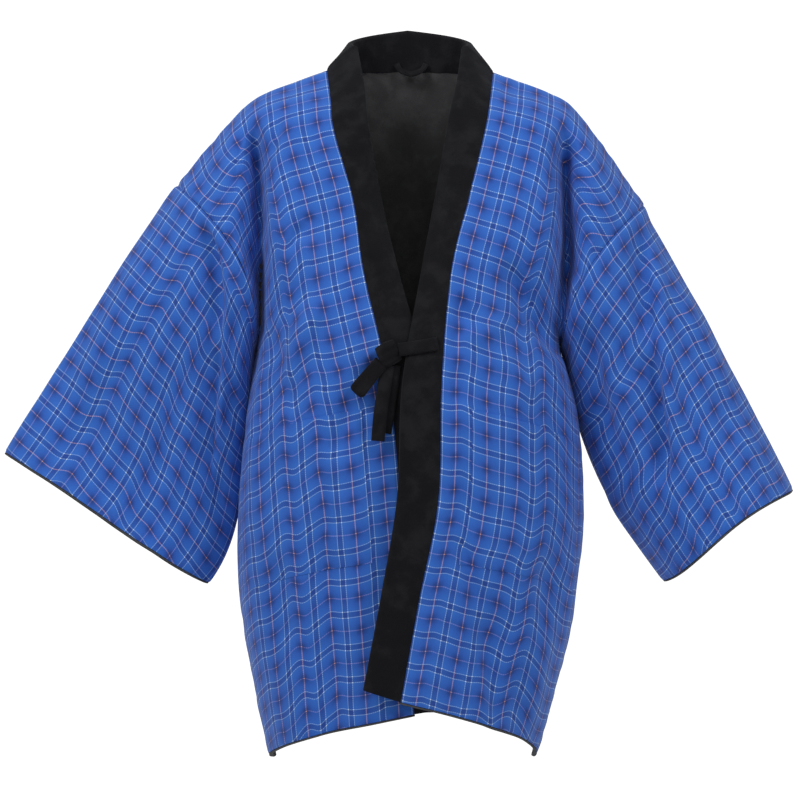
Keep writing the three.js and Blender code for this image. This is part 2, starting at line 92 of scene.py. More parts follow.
@dataclass(frozen=True)
class Fold:
    """A soft trough along a line seen from the front or the back; a negative depth is a ridge.

    A fold that leans moves its bottom sideways by that share of its depth, to the viewer's right where it runs
    down the front. An open one keeps its full depth at its lower end. All lengths are in millimetres.
    """

    start: tuple[float, float]
    end: tuple[float, float]
    width: float
    depth: float
    lean: float = 0.0
    open: bool = False


@dataclass(frozen=True)
class Side:
    """One half of the body: its armhole, its cuff and the rows of its cutting table.

    Each row is a section from the shoulder ridge to the hem. seam is where the collar band is sewn on, front
    and back are the corners that a row bends round, power says how tightly, band leads from the seam to the
    band's free edge, and seam_side is the side seam from the underarm down. cuff_hollow is the share of the
    sleeve's length by which the cuff's front and back curve in.
    """

    name: str
    sign: int
    arm_top: tuple[float, float, float]
    arm_bottom: tuple[float, float, float]
    arm_shift: float
    cuff_hollow: float
    cuff_top: tuple[float, float, float]
    cuff_bottom: tuple[float, float, float]
    underside: tuple[tuple[float, float, float], tuple[float, float, float]]
    seam: tuple[tuple[float, float, float], ...]
    front: tuple[tuple[float, float, float], ...]
    back: tuple[tuple[float, float, float], ...]
    power: tuple[float, ...]
    band: tuple[tuple[float, float, float], ...]
    seam_side: tuple[tuple[float, float, float], ...]
    front_folds: tuple[Fold, ...]
    front_creases: tuple[Fold, ...]
    sleeve_creases: tuple[Fold, ...]
    seed: int


LEFT = Side(
    name="left", sign=1,
    arm_top=(284, 0, -160), arm_bottom=(182, 0, -328), arm_shift=24, cuff_hollow=0.06,
    cuff_top=(457, -14, -500), cuff_bottom=(315, -10, -630), underside=((195, 10, -415), (222, 6, -505)),
    seam=((102, 12, 3), (96, -35, -38), (89, -62, -76), (68, -95, -161), (48, -118, -244), (37, -142, -371),
          (33, -148, -508), (11, -148, -623), (-10, -146, -740)),
    front=((197, 5, -33), (192, -42, -52), (188, -76, -92), (184, -108, -182), (184, -124, -290),
           (211, -139, -405), (217, -144, -532), (198, -146, -646), (158, -146, -778)),
    back=((190, 70, -4), (188, 88, -50), (184, 102, -105), (182, 112, -195), (182, 116, -295), (198, 120, -415),
          (206, 123, -540), (196, 126, -660), (166, 130, -780)),
    power=(4, 3, 2.6, 2.3, 2, 2, 2, 2, 2),
    band=((-36, -8, 30), (-39, 4, 22), (-43, 6, 13), (-38, 20, 9), (-34, 16, 6), (-45, -6, -3), (-47, -3, 5),
          (-43, -3, 8), (-43, -3, 14)),
    seam_side=((182, 0, -328), (202, 0, -440), (204.5, 0, -560), (188, 0, -690), (155, 0, -820)),
    front_folds=(
        Fold((188, -48), (188, -310), 16, 26),
        Fold((186, -54), (191, -322), 7, 27),
        Fold((106, -225), (160, -340), 14, 7),
        Fold((70, -275), (44, -345), 12, 6),
        Fold((80, -600), (136, -800), 20, 11, open=True),
        Fold((60, -330), (120, -300), 12, -4),
    ),
    front_creases=(
        Fold((54, -268), (76, -318), 7, 4),
        Fold((58, -545), (86, -640), 8, 7),
        Fold((86, -640), (108, -790), 9, 6),
        Fold((110, -222), (176, -350), 11, 7),
        Fold((150, -290), (186, -352), 9, 5),
        Fold((56, -350), (60, -410), 9, 5),
        Fold((170, -560), (150, -690), 16, 5),
        Fold((98, -330), (150, -400), 12, -4),
        Fold((120, -60), (140, -150), 14, 3),
    ),
    sleeve_creases=(
        Fold((269, -172), (274, -345), 11, 16, lean=0.7),
        Fold((273, -310), (293, -510), 11, 16, lean=0.7),
        Fold((291, -190), (312, -490), 12, -6),
        Fold((206, -290), (228, -450), 13, 12),
        Fold((322, -230), (372, -420), 17, -5),
        Fold((215, -380), (262, -500), 10, 5),
        Fold((330, -300), (390, -470), 14, 4),
        Fold((238, -300), (262, -390), 12, 4),
    ),
    seed=11,
)

RIGHT = Side(
    name="right", sign=-1,
    arm_top=(-278, 0, -136), arm_bottom=(-179, 0, -322), arm_shift=30, cuff_hollow=0.022,
    cuff_top=(-479, -20, -456), cuff_bottom=(-241, -14, -622), underside=((-192, 8, -410), (-192, 4, -578)),
    seam=((-97, 12, 5), (-91, -33, -36), (-86, -60, -76), (-62, -90, -162), (-50, -114, -245), (-22, -131, -372),
          (-8, -131, -508), (0, -130, -623), (8, -129, -756)),
    front=((-190, 5, -30), (-187, -42, -52), (-184, -76, -92), (-180, -106, -182), (-180, -122, -290),
           (-208, -134, -402), (-215, -136, -532), (-200, -137, -650), (-172, -134, -790)),
    back=((-184, 70, -4), (-183, 88, -50), (-181, 102, -105), (-179, 112, -195), (-179, 116, -295),
          (-192, 120, -415), (-202, 123, -540), (-196, 126, -660), (-172, 130, -780)),
    power=(4, 3, 2.6, 2.3, 2, 2, 2, 2, 2),
    band=((35, -8, 28), (39, 3, 20), (40, 6, 12), (32, 22, 8), (40, 12, 4), (44, -3, 4), (46, 0, 4), (46, 0, 6),
          (46, 0, 8)),
    seam_side=((-179, 0, -322), (-193, 0, -440), (-204, 0, -560), (-192, 0, -690), (-165, 0, -820)),
    front_folds=(
        Fold((-182, -50), (-174, -310), 16, 26),
        Fold((-184, -54), (-171, -240), 7, 24),
        Fold((-171, -200), (-179, -330), 7, 26),
        Fold((-112, -175), (-128, -214), 12, 5),
        Fold((-98, -262), (-152, -398), 16, -7),
        Fold((-60, -372), (-84, -470), 14, 6),
        Fold((-94, -500), (-86, -800), 24, 10, open=True),
    ),
    front_creases=(
        Fold((-193, -50), (-207, -166), 9, 6),
        Fold((-148, -60), (-170, -110), 7, 5),
        Fold((-120, -186), (-140, -224), 8, 5),
        Fold((-100, -262), (-154, -396), 10, -6),
        Fold((-29, -343), (-66, -376), 7, 5),
        Fold((-53, -386), (-50, -446), 8, 5),
        Fold((-165, -300), (-130, -420), 12, 5),
        Fold((-120, -330), (-176, -420), 14, 4),
        Fold((-92, -470), (-84, -560), 14, 5),
        Fold((-150, -560), (-140, -700), 16, 5),
        Fold((-110, -60), (-122, -150), 14, 3),
    ),
    sleeve_creases=(
        Fold((-244, -165), (-229, -335), 11, 15, lean=0.7),
        Fold((-229, -300), (-244, -510), 11, 15, lean=0.7),
        Fold((-212, -200), (-206, -430), 12, -5),
        Fold((-206, -270), (-209, -440), 11, 10),
        Fold((-300, -220), (-400, -400), 22, -6),
        Fold((-215, -380), (-230, -540), 12, 5),
        Fold((-330, -330), (-400, -470), 16, 4),
        Fold((-270, -330), (-300, -520), 16, 5),
    ),
    seed=23,
)

BACK_FOLDS = (
    Fold((186, -70), (178, -270), 17, 24),
    Fold((-183, -70), (-175, -265), 17, 24),
    Fold((-96, -430), (-88, -830), 26, 17, open=True),
    Fold((-8, -470), (6, -830), 24, 13, open=True),
    Fold((92, -420), (84, -830), 26, 18, open=True),
    Fold((150, -240), (70, -330), 20, 8),
    Fold((-150, -235), (-72, -320), 20, 8),
)
BACK_CREASES = (
    Fold((60, -120), (20, -240), 18, 3),
    Fold((-66, -110), (-24, -230), 18, 3),
    Fold((140, -330), (110, -450), 14, 4),
    Fold((-144, -320), (-118, -450), 14, 4),
    Fold((34, -400), (44, -600), 16, -3),
    Fold((-50, -420), (-44, -640), 16, -3),
    Fold((150, -560), (140, -760), 14, 4),
    Fold((-150, -580), (-146, -780), 14, 4),
)


def smooth(low: float, high: float, x: Array) -> Array:
    """Ease from 0 at low to 1 at high.

    Args:
        low: Where the step starts.
        high: Where it ends.
        x: Values.

    Returns:
        3 t^2 - 2 t^3 with t the clamped share of the way from low to high.
    """
    t = np.clip((x - low) / (high - low), 0, 1)
    return t * t * (3 - 2 * t)


def along(column: tuple, v: Array) -> Array:
    """Run a Catmull-Rom curve through one column of a table.

    Args:
        column: One value or point for each row of the table.
        v: Places, counted in rows from 0.

    Returns:
        The points, with the column's own size as the last axis.
    """
    table = np.asarray(column, float).reshape(len(column), -1)
    k = np.clip(np.floor(v).astype(int), 0, len(table) - 2)
    t = (v - k)[..., None]
    a, b, c, d = (table[np.clip(k + i, 0, len(table) - 1)] for i in (-1, 0, 1, 2))
    return 0.5 * (2 * b + (c - a) * t + (2 * a - 5 * b + 4 * c - d) * t**2 + (3 * b - a - 3 * c + d) * t**3)


def half_width(a: Array, length: Array) -> Array:
    """Find an ellipse's other half-width by halving, from Ramanujan's formula for its length.

    Args:
        a: One half-width.
        length: The distance round the ellipse.

    Returns:
        The other half-width.
    """
    low, high = np.ones_like(a), np.broadcast_to(length / 4, a.shape).copy()
    for _ in range(HALVINGS):
        b = (low + high) / 2
        over = math.pi * (3 * (a + b) - np.sqrt((3 * a + b) * (a + 3 * b))) > length
        low, high = np.where(over, low, b), np.where(over, b, high)
    return low


def ring_points(top: Array, bottom: Array, shift: Array, angle: Array, length: Array) -> Array:
    """Lay a sleeve's ring between its top and bottom points: middle + up cos(angle), out by the half-width.

    Args:
        top: Points of the upper fold.
        bottom: Points of the lower fold.
        shift: How far the front half bows towards the body.
        angle: The angle round the ring, from the top over the front.
        length: The distance round the ring.

    Returns:
        The points of the ring.
    """
    up = (top - bottom) / 2
    point = (top + bottom) / 2 + up * np.cos(angle)[..., None]
    reach = half_width(np.linalg.norm(up, axis=-1), length)
    point[..., 1] -= reach * np.sin(angle)
    point[..., 0] -= shift * np.where(np.sin(angle) > 0, np.sin(angle) ** 2, 0)
    return point


def bent_rows(start: Array, corner: Array, end: Array, power: Array, shares: Array) -> Array:
    """Bend each row from start to end round a corner and take it at shares of its length.

    A row is corner + (start - corner)(1 - t)^power + (end - corner) t^power.

    Args:
        start: A point for each row.
        corner: A point for each row.
        end: A point for each row.
        power: How tightly each row bends.
        shares: Shares of the length, the same for every row.

    Returns:
        A grid of points, rows by shares.
    """
    t = np.linspace(0, 1, ROW_SAMPLES)[None, :, None]
    p = power.reshape(-1, 1, 1)
    path = corner[:, None] + (start - corner)[:, None] * (1 - t) ** p + (end - corner)[:, None] * t**p
    steps = np.linalg.norm(np.diff(path, axis=1), axis=-1)
    reach = np.concatenate([np.zeros((len(path), 1)), np.cumsum(steps, axis=1)], axis=1)
    reach /= reach[:, -1:]
    row = 2.0 * np.arange(len(path))[:, None]
    place = np.interp((shares[None] + row).ravel(), (reach + row).ravel(), np.arange(reach.size))
    low = np.clip(place.astype(int), 0, reach.size - 2)
    weight = (place - low)[:, None]
    flat = path.reshape(-1, 3)
    return (flat[low] * (1 - weight) + flat[low + 1] * weight).reshape(len(path), len(shares), 3)


def fold_moves(folds: tuple[Fold, ...], x: Array, z: Array) -> tuple[Array, Array]:
    """Add up the troughs: each is depth exp(-(off / width)^2), faded over its ends.

    Args:
        folds: The troughs and ridges.
        x: Sideways places in millimetres.
        z: Heights in millimetres.

    Returns:
        The depth pressed in at each place, and the sideways move there.
    """
    depth, shift = np.zeros_like(x), np.zeros((*x.shape, 3))
    for fold in folds:
        dx, dz = fold.end[0] - fold.start[0], fold.end[1] - fold.start[1]
        long = math.hypot(dx, dz)
        px, pz = x - fold.start[0], z - fold.start[1]
        s = (px * dx + pz * dz) / long**2
        off = (px * dz - pz * dx) / long
        ends = smooth(0, FOLD_ENDS, s) * (1 if fold.open else smooth(0, FOLD_ENDS, 1 - s))
        value = fold.depth * ends * np.exp(-((off / fold.width) ** 2))
        depth += value
        shift += fold.lean * value[..., None] * np.array([-dz, 0, dx]) / long
    return depth, shift


def crumple(u: Array, v: Array, cell: tuple[float, float], seed: int) -> Array:
    """Give smooth uneven waves, from -1 to 1, through a seeded lattice eased between its points.

    Args:
        u: Distance across the cloth in millimetres.
        v: Distance down the cloth in millimetres.
        cell: The size of a lattice cell.
        seed: Which lattice.

    Returns:
        The waves' height at each place.
    """
    lattice = np.random.default_rng(seed).uniform(-1, 1, (LATTICE, LATTICE))
    a, b = u / cell[0], v / cell[1]
    i, j = np.floor(a).astype(int), np.floor(b).astype(int)
    s, t = smooth(0, 1, a - i), smooth(0, 1, b - j)

    def at(di: int, dj: int) -> Array:
        """Return the lattice's value at one corner of each place's cell."""
        return lattice[(i + di) % LATTICE, (j + dj) % LATTICE]

    return (at(0, 0) * (1 - s) + at(1, 0) * s) * (1 - t) + (at(0, 1) * (1 - s) + at(1, 1) * s) * t


def unit(vectors: Array) -> Array:
    """Return vectors of length 1."""
    return vectors / np.maximum(np.linalg.norm(vectors, axis=-1, keepdims=True), 1e-9)


def reach_along(grid: Array, axis: int) -> Array:
    """Measure the distance from the grid's first line to each point, along an axis of the grid."""
    steps = np.linalg.norm(np.diff(grid, axis=axis), axis=-1)
    return np.insert(np.cumsum(steps, axis=axis), 0, 0, axis=axis)


def grid_normals(grid: Array, closed: bool, sign: float) -> Array:
    """Cross the slopes of a grid of points.

    Args:
        grid: Points, rows by columns.
        closed: Whether the columns run once round.
        sign: 1 or -1, for the way out.

    Returns:
        A unit normal for each point.
    """
    down = np.gradient(grid, axis=0)
    if closed:
        across = (np.roll(grid, -1, axis=1) - np.roll(grid, 1, axis=1)) / 2
    else:
        across = np.gradient(grid, axis=1)
    return sign * unit(np.cross(across, down))


@dataclass
class Cloth:
    """A sewn surface: a grid of points on its outer face with the distances across and down in its flat cut."""

    points: Array
    across: Array
    down: Array
    sign: float
    closed: bool = False

    def normals(self) -> Array:
        """Return the outward normals of the grid."""
        return grid_normals(self.points, self.closed, self.sign)

    def pressed(self, depth: Array) -> "Cloth":
        """Return the cloth with each point pressed in by a depth."""
        points = self.points - self.normals() * depth[..., None]
        return Cloth(points, self.across, self.down, self.sign, self.closed)

    def creased(self, folds: tuple[Fold, ...], share: Array) -> Array:
        """Return the points with a share of the folds pressed in and moved sideways."""
        depth, shift = fold_moves(folds, self.points[..., 0], self.points[..., 2])
        return self.points + (shift - self.normals() * depth[..., None]) * share[..., None]

    def uv(self) -> Array:
        """Return the flat cut's coordinates in metres."""
        return np.stack([self.across, self.down], axis=-1) * MM


def signed_volume(points: Array, quads: Array) -> float:
    """Return the volume that quads enclose, negative when they face in."""
    a, b, c, d = (points[quads[:, k]] for k in range(4))
    return float(np.sum(a * np.cross(b, c)) + np.sum(a * np.cross(c, d)))


def make_object(name: str, points: Array, faces: list, uv: Array) -> bpy.types.Object:
    """Put points in millimetres of the tables into a new smooth object.

    Args:
        name: The node that the piece stands for.
        points: Its points.
        faces: Its faces, facing out.
        uv: A flat coordinate for each face corner.

    Returns:
        The object, at the origin and linked to the scene.
    """
    mesh = bpy.data.meshes.new(name + DRESSED)
    mesh.from_pydata(((points - NAPE) * MM).tolist(), [], faces)
    layer = mesh.uv_layers.new(name="Cloth")
    layer.data.foreach_set("uv", uv.astype(np.float32).ravel())
    mesh.polygons.foreach_set("use_smooth", np.ones(len(mesh.polygons), bool))
    mesh.set_sharp_from_angle(angle=math.radians(SHARP_ANGLE))
    mesh.update()
    obj = bpy.data.objects.new(name + DRESSED, mesh)
    bpy.context.scene.collection.objects.link(obj)
    return obj


def wall(name: str, outer: Array, inner: Array, uv: Array, closed: bool = False) -> bpy.types.Object:
    """Close a wall between two grids.

    Args:
        name: The piece's name.
        outer: The outer face's points, rows by columns.
        inner: The inner face's points.
        uv: The flat coordinates of the grid; a closed grid has one more column there.
        closed: Whether the columns run once round.

    Returns:
        The object.
    """
    rows, columns = outer.shape[:2]
    points = np.concatenate([outer.reshape(-1, 3), inner.reshape(-1, 3)])
    cells = columns if closed else columns - 1
    index = np.arange(2 * rows * columns).reshape(2, rows, columns)
    if closed:
        index = np.concatenate([index, index[:, :, :1]], axis=2)
    corner = np.arange(rows * (cells + 1)).reshape(rows, cells + 1)

    def strip(grid: Array) -> Array:
        """Return the quads of a grid of numbers."""
        return np.stack([grid[:-1, :-1], grid[1:, :-1], grid[1:, 1:], grid[:-1, 1:]], axis=-1).reshape(-1, 4)

    sheets = [
        (index[0], corner),
        (index[1][:, ::-1], corner[:, ::-1]),
        (index[::-1, 0], np.stack([corner[0], corner[0]])),
        (index[:, -1], np.stack([corner[-1], corner[-1]])),
    ]
    if not closed:
        first, last = np.stack([corner[:, 0]] * 2, axis=1), np.stack([corner[:, -1]] * 2, axis=1)
        sheets += [(index[::-1, :, 0].T, first), (index[:, :, -1].T, last)]
    quads = np.concatenate([strip(numbers) for numbers, _ in sheets])
    corners = np.concatenate([strip(numbers) for _, numbers in sheets])
    if signed_volume(points, quads) < 0:
        quads, corners = quads[:, ::-1], corners[:, ::-1]
    return make_object(name, points, quads.tolist(), uv.reshape(-1, 2)[corners])


def tube(name: str, rings: Array) -> bpy.types.Object:
    """Join closed rings into a tube with flat ends.

    Args:
        name: The piece's name.
        rings: Points, rings by places round.

    Returns:
        The object, with its coordinates along and round in metres.
    """
    count, size = rings.shape[:2]
    points = rings.reshape(-1, 3)
    number = np.arange(count * size).reshape(count, size)
    number = np.concatenate([number, number[:, :1]], axis=1)
    quads = np.stack([number[:-1, :-1], number[1:, :-1], number[1:, 1:], number[:-1, 1:]], axis=-1).reshape(-1, 4)
    long = np.repeat(reach_along(rings, 0).mean(axis=1)[:, None], size + 1, axis=1)
    ring = np.concatenate([rings, rings[:, :1]], axis=1)
    flat = np.stack([long, reach_along(ring, 1)], axis=-1) * MM
    place = np.arange(count * (size + 1)).reshape(count, size + 1)
    corners = np.stack([place[:-1, :-1], place[1:, :-1], place[1:, 1:], place[:-1, 1:]], axis=-1).reshape(-1, 4)
    ends = [number[0, :-1], number[-1, :-1][::-1]]
    end_corners = [place[0, :-1], place[-1, :-1][::-1]]
    if signed_volume(points, quads) < 0:
        quads, corners = quads[:, ::-1], corners[:, ::-1]
        ends, end_corners = [e[::-1] for e in ends], [e[::-1] for e in end_corners]
    faces = quads.tolist() + [e.tolist() for e in ends]
    uv = flat.reshape(-1, 2)[np.concatenate([corners.ravel(), *end_corners])]
    return make_object(name, points, faces, uv)


def settle(obj: bpy.types.Object, finish: bpy.types.Material) -> None:
    """Dress a piece, let it ride on the body and stand for the node that it is named after.

    Args:
        obj: The piece.
        finish: Its material.
    """
    obj.data.materials.append(finish)
    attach(obj, BODY)
    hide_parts(obj.name.removesuffix(DRESSED))
    log.info("%s: %d faces", obj.name, len(obj.data.polygons))


@dataclass(frozen=True)
class Seam:
    """How cloth lies beside a seam: a dip at the thread and short puckers that start from it."""

    dip: float = 1.5
    dip_reach: float = 3.2
    pucker: float = 1.1
    pucker_reach: float = 9.0
    pucker_cell: tuple[float, float] = (11.0, 60.0)

    def depth(self, distance: Array, place: Array, seed: int) -> Array:
        """Give the depth beside a seam: dip exp(-d / reach) plus waves that rise and fade as d exp(1 - d).

        Args:
            distance: Millimetres from the seam.
            place: Millimetres along it.
            seed: Which waves.

        Returns:
            The depth at each point.
        """
        share = distance / self.pucker_reach
        waves = crumple(place, distance, self.pucker_cell, seed)
        return self.dip * np.exp(-distance / self.dip_reach) + self.pucker * waves * share * np.exp(1 - share)


@dataclass(frozen=True)
class Wadding:
    """The soft unevenness of padded cloth, fading out at the seams."""

    large: float = 3.2
    large_cell: tuple[float, float] = (74.0, 120.0)
    small: float = 1.3
    small_cell: tuple[float, float] = (25.0, 52.0)
    fade: float = 26.0
    start: float = 500.0

    def depth(self, cloth: Cloth, edge: Array, seed: int) -> Array:
        """Give the waves' depth, from two sizes of lattice.

        Args:
            cloth: The cloth.
            edge: Millimetres from the nearest seam.
            seed: Which waves.

        Returns:
            The depth at each point.
        """
        waves = self.large * crumple(cloth.across + self.start, cloth.down, self.large_cell, seed)
        waves += self.small * crumple(cloth.across + self.start, cloth.down, self.small_cell, seed + 1)
        return waves * smooth(0, self.fade, edge)


@dataclass(frozen=True)
class Roll:
    """The lining's rolled edge, which shows as a thin dark line past the shell."""

    past: tuple[float, ...] = (0.4, 0.7, 1.9, 2.7)
    outer: tuple[float, ...] = (3.3, 1.1, 0.6, 1.7)
    inner: tuple[float, ...] = (5.7, 5.7, 5.2, 3.8)


SEAM = Seam()
WADDING = Wadding()
ROLL = Roll()


def edge_ease(rows: int, columns: int, amount: float, closed: bool) -> Array:
    """Round a wall's edges: an amount on the outermost lines of the grid and nothing inside."""
    ease = np.zeros((rows, columns))
    ease[[0, -1]] = amount
    if not closed:
        ease[:, [0, -1]] = amount
    return ease


def shell_piece(name: str, cloth: Cloth, uv: Array) -> bpy.types.Object:
    """Give a cloth the shell's thickness, with softened edges.

    Args:
        name: The piece's name.
        cloth: Its outer face.
        uv: Its flat coordinates.

    Returns:
        The object.
    """
    normals = cloth.normals()
    ease = edge_ease(*cloth.points.shape[:2], 0.7, cloth.closed)[..., None]
    outer = cloth.points - normals * ease
    inner = cloth.points - normals * (SHELL - ease)
    return wall(name, outer, inner, uv, cloth.closed)


def lining_piece(name: str, cloth: Cloth) -> bpy.types.Object:
    """Lay the lining under a cloth, with half its rows, and roll it out past the cloth's last row.

    Args:
        name: The piece's name.
        cloth: The shell's outer face.

    Returns:
        The object.
    """
    points, normals = cloth.points[::LINING_STEP], cloth.normals()[::LINING_STEP]
    on = unit(points[-1] - points[-2])
    more = points[-1] + on * np.array(ROLL.past)[:, None, None]
    points = np.concatenate([points, more])
    normals = np.concatenate([normals, np.repeat(normals[-1:], len(ROLL.past), axis=0)])
    under = SHELL + GAP
    plain = np.ones(len(points) - len(ROLL.past))
    outer = np.concatenate([plain * under, ROLL.outer])[:, None, None]
    inner = np.concatenate([plain * (under + LINING), ROLL.inner])[:, None, None]
    grid = np.concatenate([points, points[:, :1]], axis=1) if cloth.closed else points
    uv = np.stack([reach_along(grid, 1), reach_along(grid, 0)], axis=-1) * MM
    return wall(name, points - normals * outer, points - normals * inner, uv, cloth.closed)


def layers(name: str, cloth: Cloth, uv: Array, plaid: bpy.types.Material,
           fleece: bpy.types.Material) -> tuple[bpy.types.Object, bpy.types.Object]:
    """Make and dress a panel's shell and lining.

    Args:
        name: The shell's node.
        cloth: The shell's outer face.
        uv: Its flat coordinates.
        plaid: The shell's finish.
        fleece: The lining's finish.

    Returns:
        The shell and the lining.
    """
    shell, lining = shell_piece(name, cloth, uv), lining_piece(f"lining_{name}", cloth)
    settle(shell, plaid)
    settle(lining, fleece)
    return shell, lining


def panel_relief(cloth: Cloth, row: Array, seed: int, collar: bool) -> Array:
    """Give a panel's wadding and its seams' puckers, which leave the point under the arm alone.

    Args:
        cloth: The panel, with its first row at the shoulder and its last column at a side seam.
        row: Each line's row of the cutting table.
        seed: Which waves.
        collar: Whether its first column is at the collar and not at the other side seam.

    Returns:
        The depth at each point.
    """
    near, far = cloth.across - cloth.across[:, :1], cloth.across[:, -1:] - cloth.across
    clear = 1 - np.exp(-(((row - UNDERARM) / UNDERARM_REACH) ** 2))
    depth = WADDING.depth(cloth, np.minimum(np.minimum(near, far), cloth.down), seed)
    depth += SEAM.depth(near, cloth.down, seed + 3) * (1 if collar else clear)
    depth += SEAM.depth(far, cloth.down, seed + 4) * clear
    return depth + SEAM.depth(cloth.down, near, seed + 5)


def side_points(side: Side, v: Array, facing: Facing) -> Array:
    """Give the outer end of each row: the armhole's ring down to the underarm, then the side seam.

    Args:
        side: The half of the body.
        v: Rows of the table.
        facing: Front or back.

    Returns:
        A point for each row.
    """
    angle = facing.value * math.pi * np.minimum(v, UNDERARM) / UNDERARM
    top = np.broadcast_to(np.array(side.arm_top, float), (len(v), 3))
    bottom = np.broadcast_to(np.array(side.arm_bottom, float), (len(v), 3))
    ring = ring_points(top, bottom, side.sign * side.arm_shift, angle, SLEEVE_ROUND)
    below = along(side.seam_side, np.maximum(v - UNDERARM, 0))
    return np.where((v <= UNDERARM)[:, None], ring, below)


def front_rows(side: Side, shares: Array, v: Array) -> Array:
    """Bend a front's rows from the collar seam to the side, before any fold."""
    seam, corner = along(side.seam, v), along(side.front, v)
    return bent_rows(seam, corner, side_points(side, v, Facing.FRONT), along(side.power, v)[:, 0], shares)


def neck_points(side: Side, turn: Array) -> Array:
    """Run the neck seam as a quarter of an ellipse from the side of the neck (0) to the nape (1)."""
    start = np.array(side.seam[0], float)
    angle = turn * math.pi / 2
    share = np.stack([1 - np.cos(angle), np.sin(angle), np.sin(angle)], axis=-1)
    return start + (NAPE - start) * share


@dataclass(frozen=True)
class Pocket:
    """A patch pocket: low at its sewn edges, full inside and open along the top.

    across gives its sides as shares of the front's width, down its top and bottom as rows of the cutting table,
    and shift is by how much its plaid misses the front's. Lengths are in millimetres.
    """

    across: tuple[float, float] = (0.14, 0.78)
    down: tuple[float, float] = (5.2, 6.6)
    shift: tuple[float, float] = (1.5, -2.2)
    gap: float = 0.1
    wall: float = 1.5
    edge_share: float = 0.25
    edge_reach: float = 14.0
    puff: float = 1.6
    puff_reach: tuple[float, float] = (8.0, 50.0)
    low_share: float = 0.5
    low_reach: float = 60.0
    mouth_share: float = 0.8
    ripple: float = 0.5
    ripple_cell: tuple[float, float] = (16.0, 22.0)
    ripple_reach: float = 12.0

    def build(self, name: str, cloth: Cloth, uv: Array, seed: int) -> bpy.types.Object:
        """Lift the front's own points off it: gap + wall, + puff inside, + a little ripple.

        Args:
            name: The pocket's node.
            cloth: The front's outer face.
            uv: The front's flat coordinates in metres.
            seed: Which ripples.

        Returns:
            The pocket.
        """
        rows, columns = (size - 1 for size in cloth.points.shape[:2])
        patch = (slice(round(self.down[0] / HEM * rows), round(self.down[1] / HEM * rows) + 1),
                 slice(round(self.across[0] * columns), round(self.across[1] * columns) + 1))
        points, normals = cloth.points[patch], cloth.normals()[patch]
        across, down = reach_along(points, 1), reach_along(points, 0)
        sewn = np.minimum(np.minimum(across, across[:, -1:] - across), down[-1:] - down)
        height = self.gap + self.wall * (self.edge_share + (1 - self.edge_share) * smooth(0, self.edge_reach, sewn))
        height += self.puff * smooth(*self.puff_reach, sewn) * (1 - self.low_share * smooth(0, self.low_reach, down))
        height += self.ripple * crumple(across, down, self.ripple_cell, seed) * smooth(0, self.ripple_reach, sewn)
        height[0] *= self.mouth_share
        flat = uv[patch] + np.array(self.shift) * MM
        return wall(name, points + normals * height[..., None], points + normals * self.gap, flat)


@dataclass
class FrontPanel:
    """A front of the shell with its lining and its patch pocket.

    Folds fade in over fold_fade: shares of a row at the collar and at the side, and rows at the shoulder. Creases
    fade in over crease_fade: millimetres at the collar and at the other seams.
    """

    side: Side
    columns: int = 101
    rows: int = 201
    fold_fade: tuple[float, float, float] = (0.1, 0.16, 0.8)
    crease_fade: tuple[float, float] = (8.0, 11.0)

    def cloth(self) -> Cloth:
        """Bend the rows, press in the folds, then add creases, wadding and puckers.

        Returns:
            The outer face.
        """
        shares, v = np.linspace(0, 1, self.columns), np.linspace(0, HEM, self.rows)
        grid = front_rows(self.side, shares, v)
        share, row = shares[None], v[:, None]
        collar, seam, shoulder = self.fold_fade
        fade = smooth(0, collar, share) * smooth(0, seam, 1 - share) * smooth(0, shoulder, row)
        folds, _ = fold_moves(self.side.front_folds, grid[..., 0], grid[..., 2])
        grid[..., 1] += folds * fade * smooth(*TURNING, -grid[..., 1])
        cloth = Cloth(grid, reach_along(grid, 1), reach_along(grid, 0), -self.side.sign)
        far = cloth.across[:, -1:] - cloth.across
        share = smooth(0, self.crease_fade[1], np.minimum(far, cloth.down))
        grid = cloth.creased(self.side.front_creases, share * smooth(0, self.crease_fade[0], cloth.across))
        cloth = Cloth(grid, reach_along(grid, 1), reach_along(grid, 0), -self.side.sign)
        return cloth.pressed(panel_relief(cloth, row, self.side.seed, collar=True))

    def build(self, plaid: bpy.types.Material, fleece: bpy.types.Material) -> None:
        """Args:
            plaid: The shell's finish.
            fleece: The lining's finish.
        """
        cloth, name = self.cloth(), self.side.name
        shell, lining = layers(f"front_{name}", cloth, cloth.uv(), plaid, fleece)
        pocket = Pocket().build(f"pocket_{name}", cloth, cloth.uv(), self.side.seed + 9)
        settle(pocket, plaid)


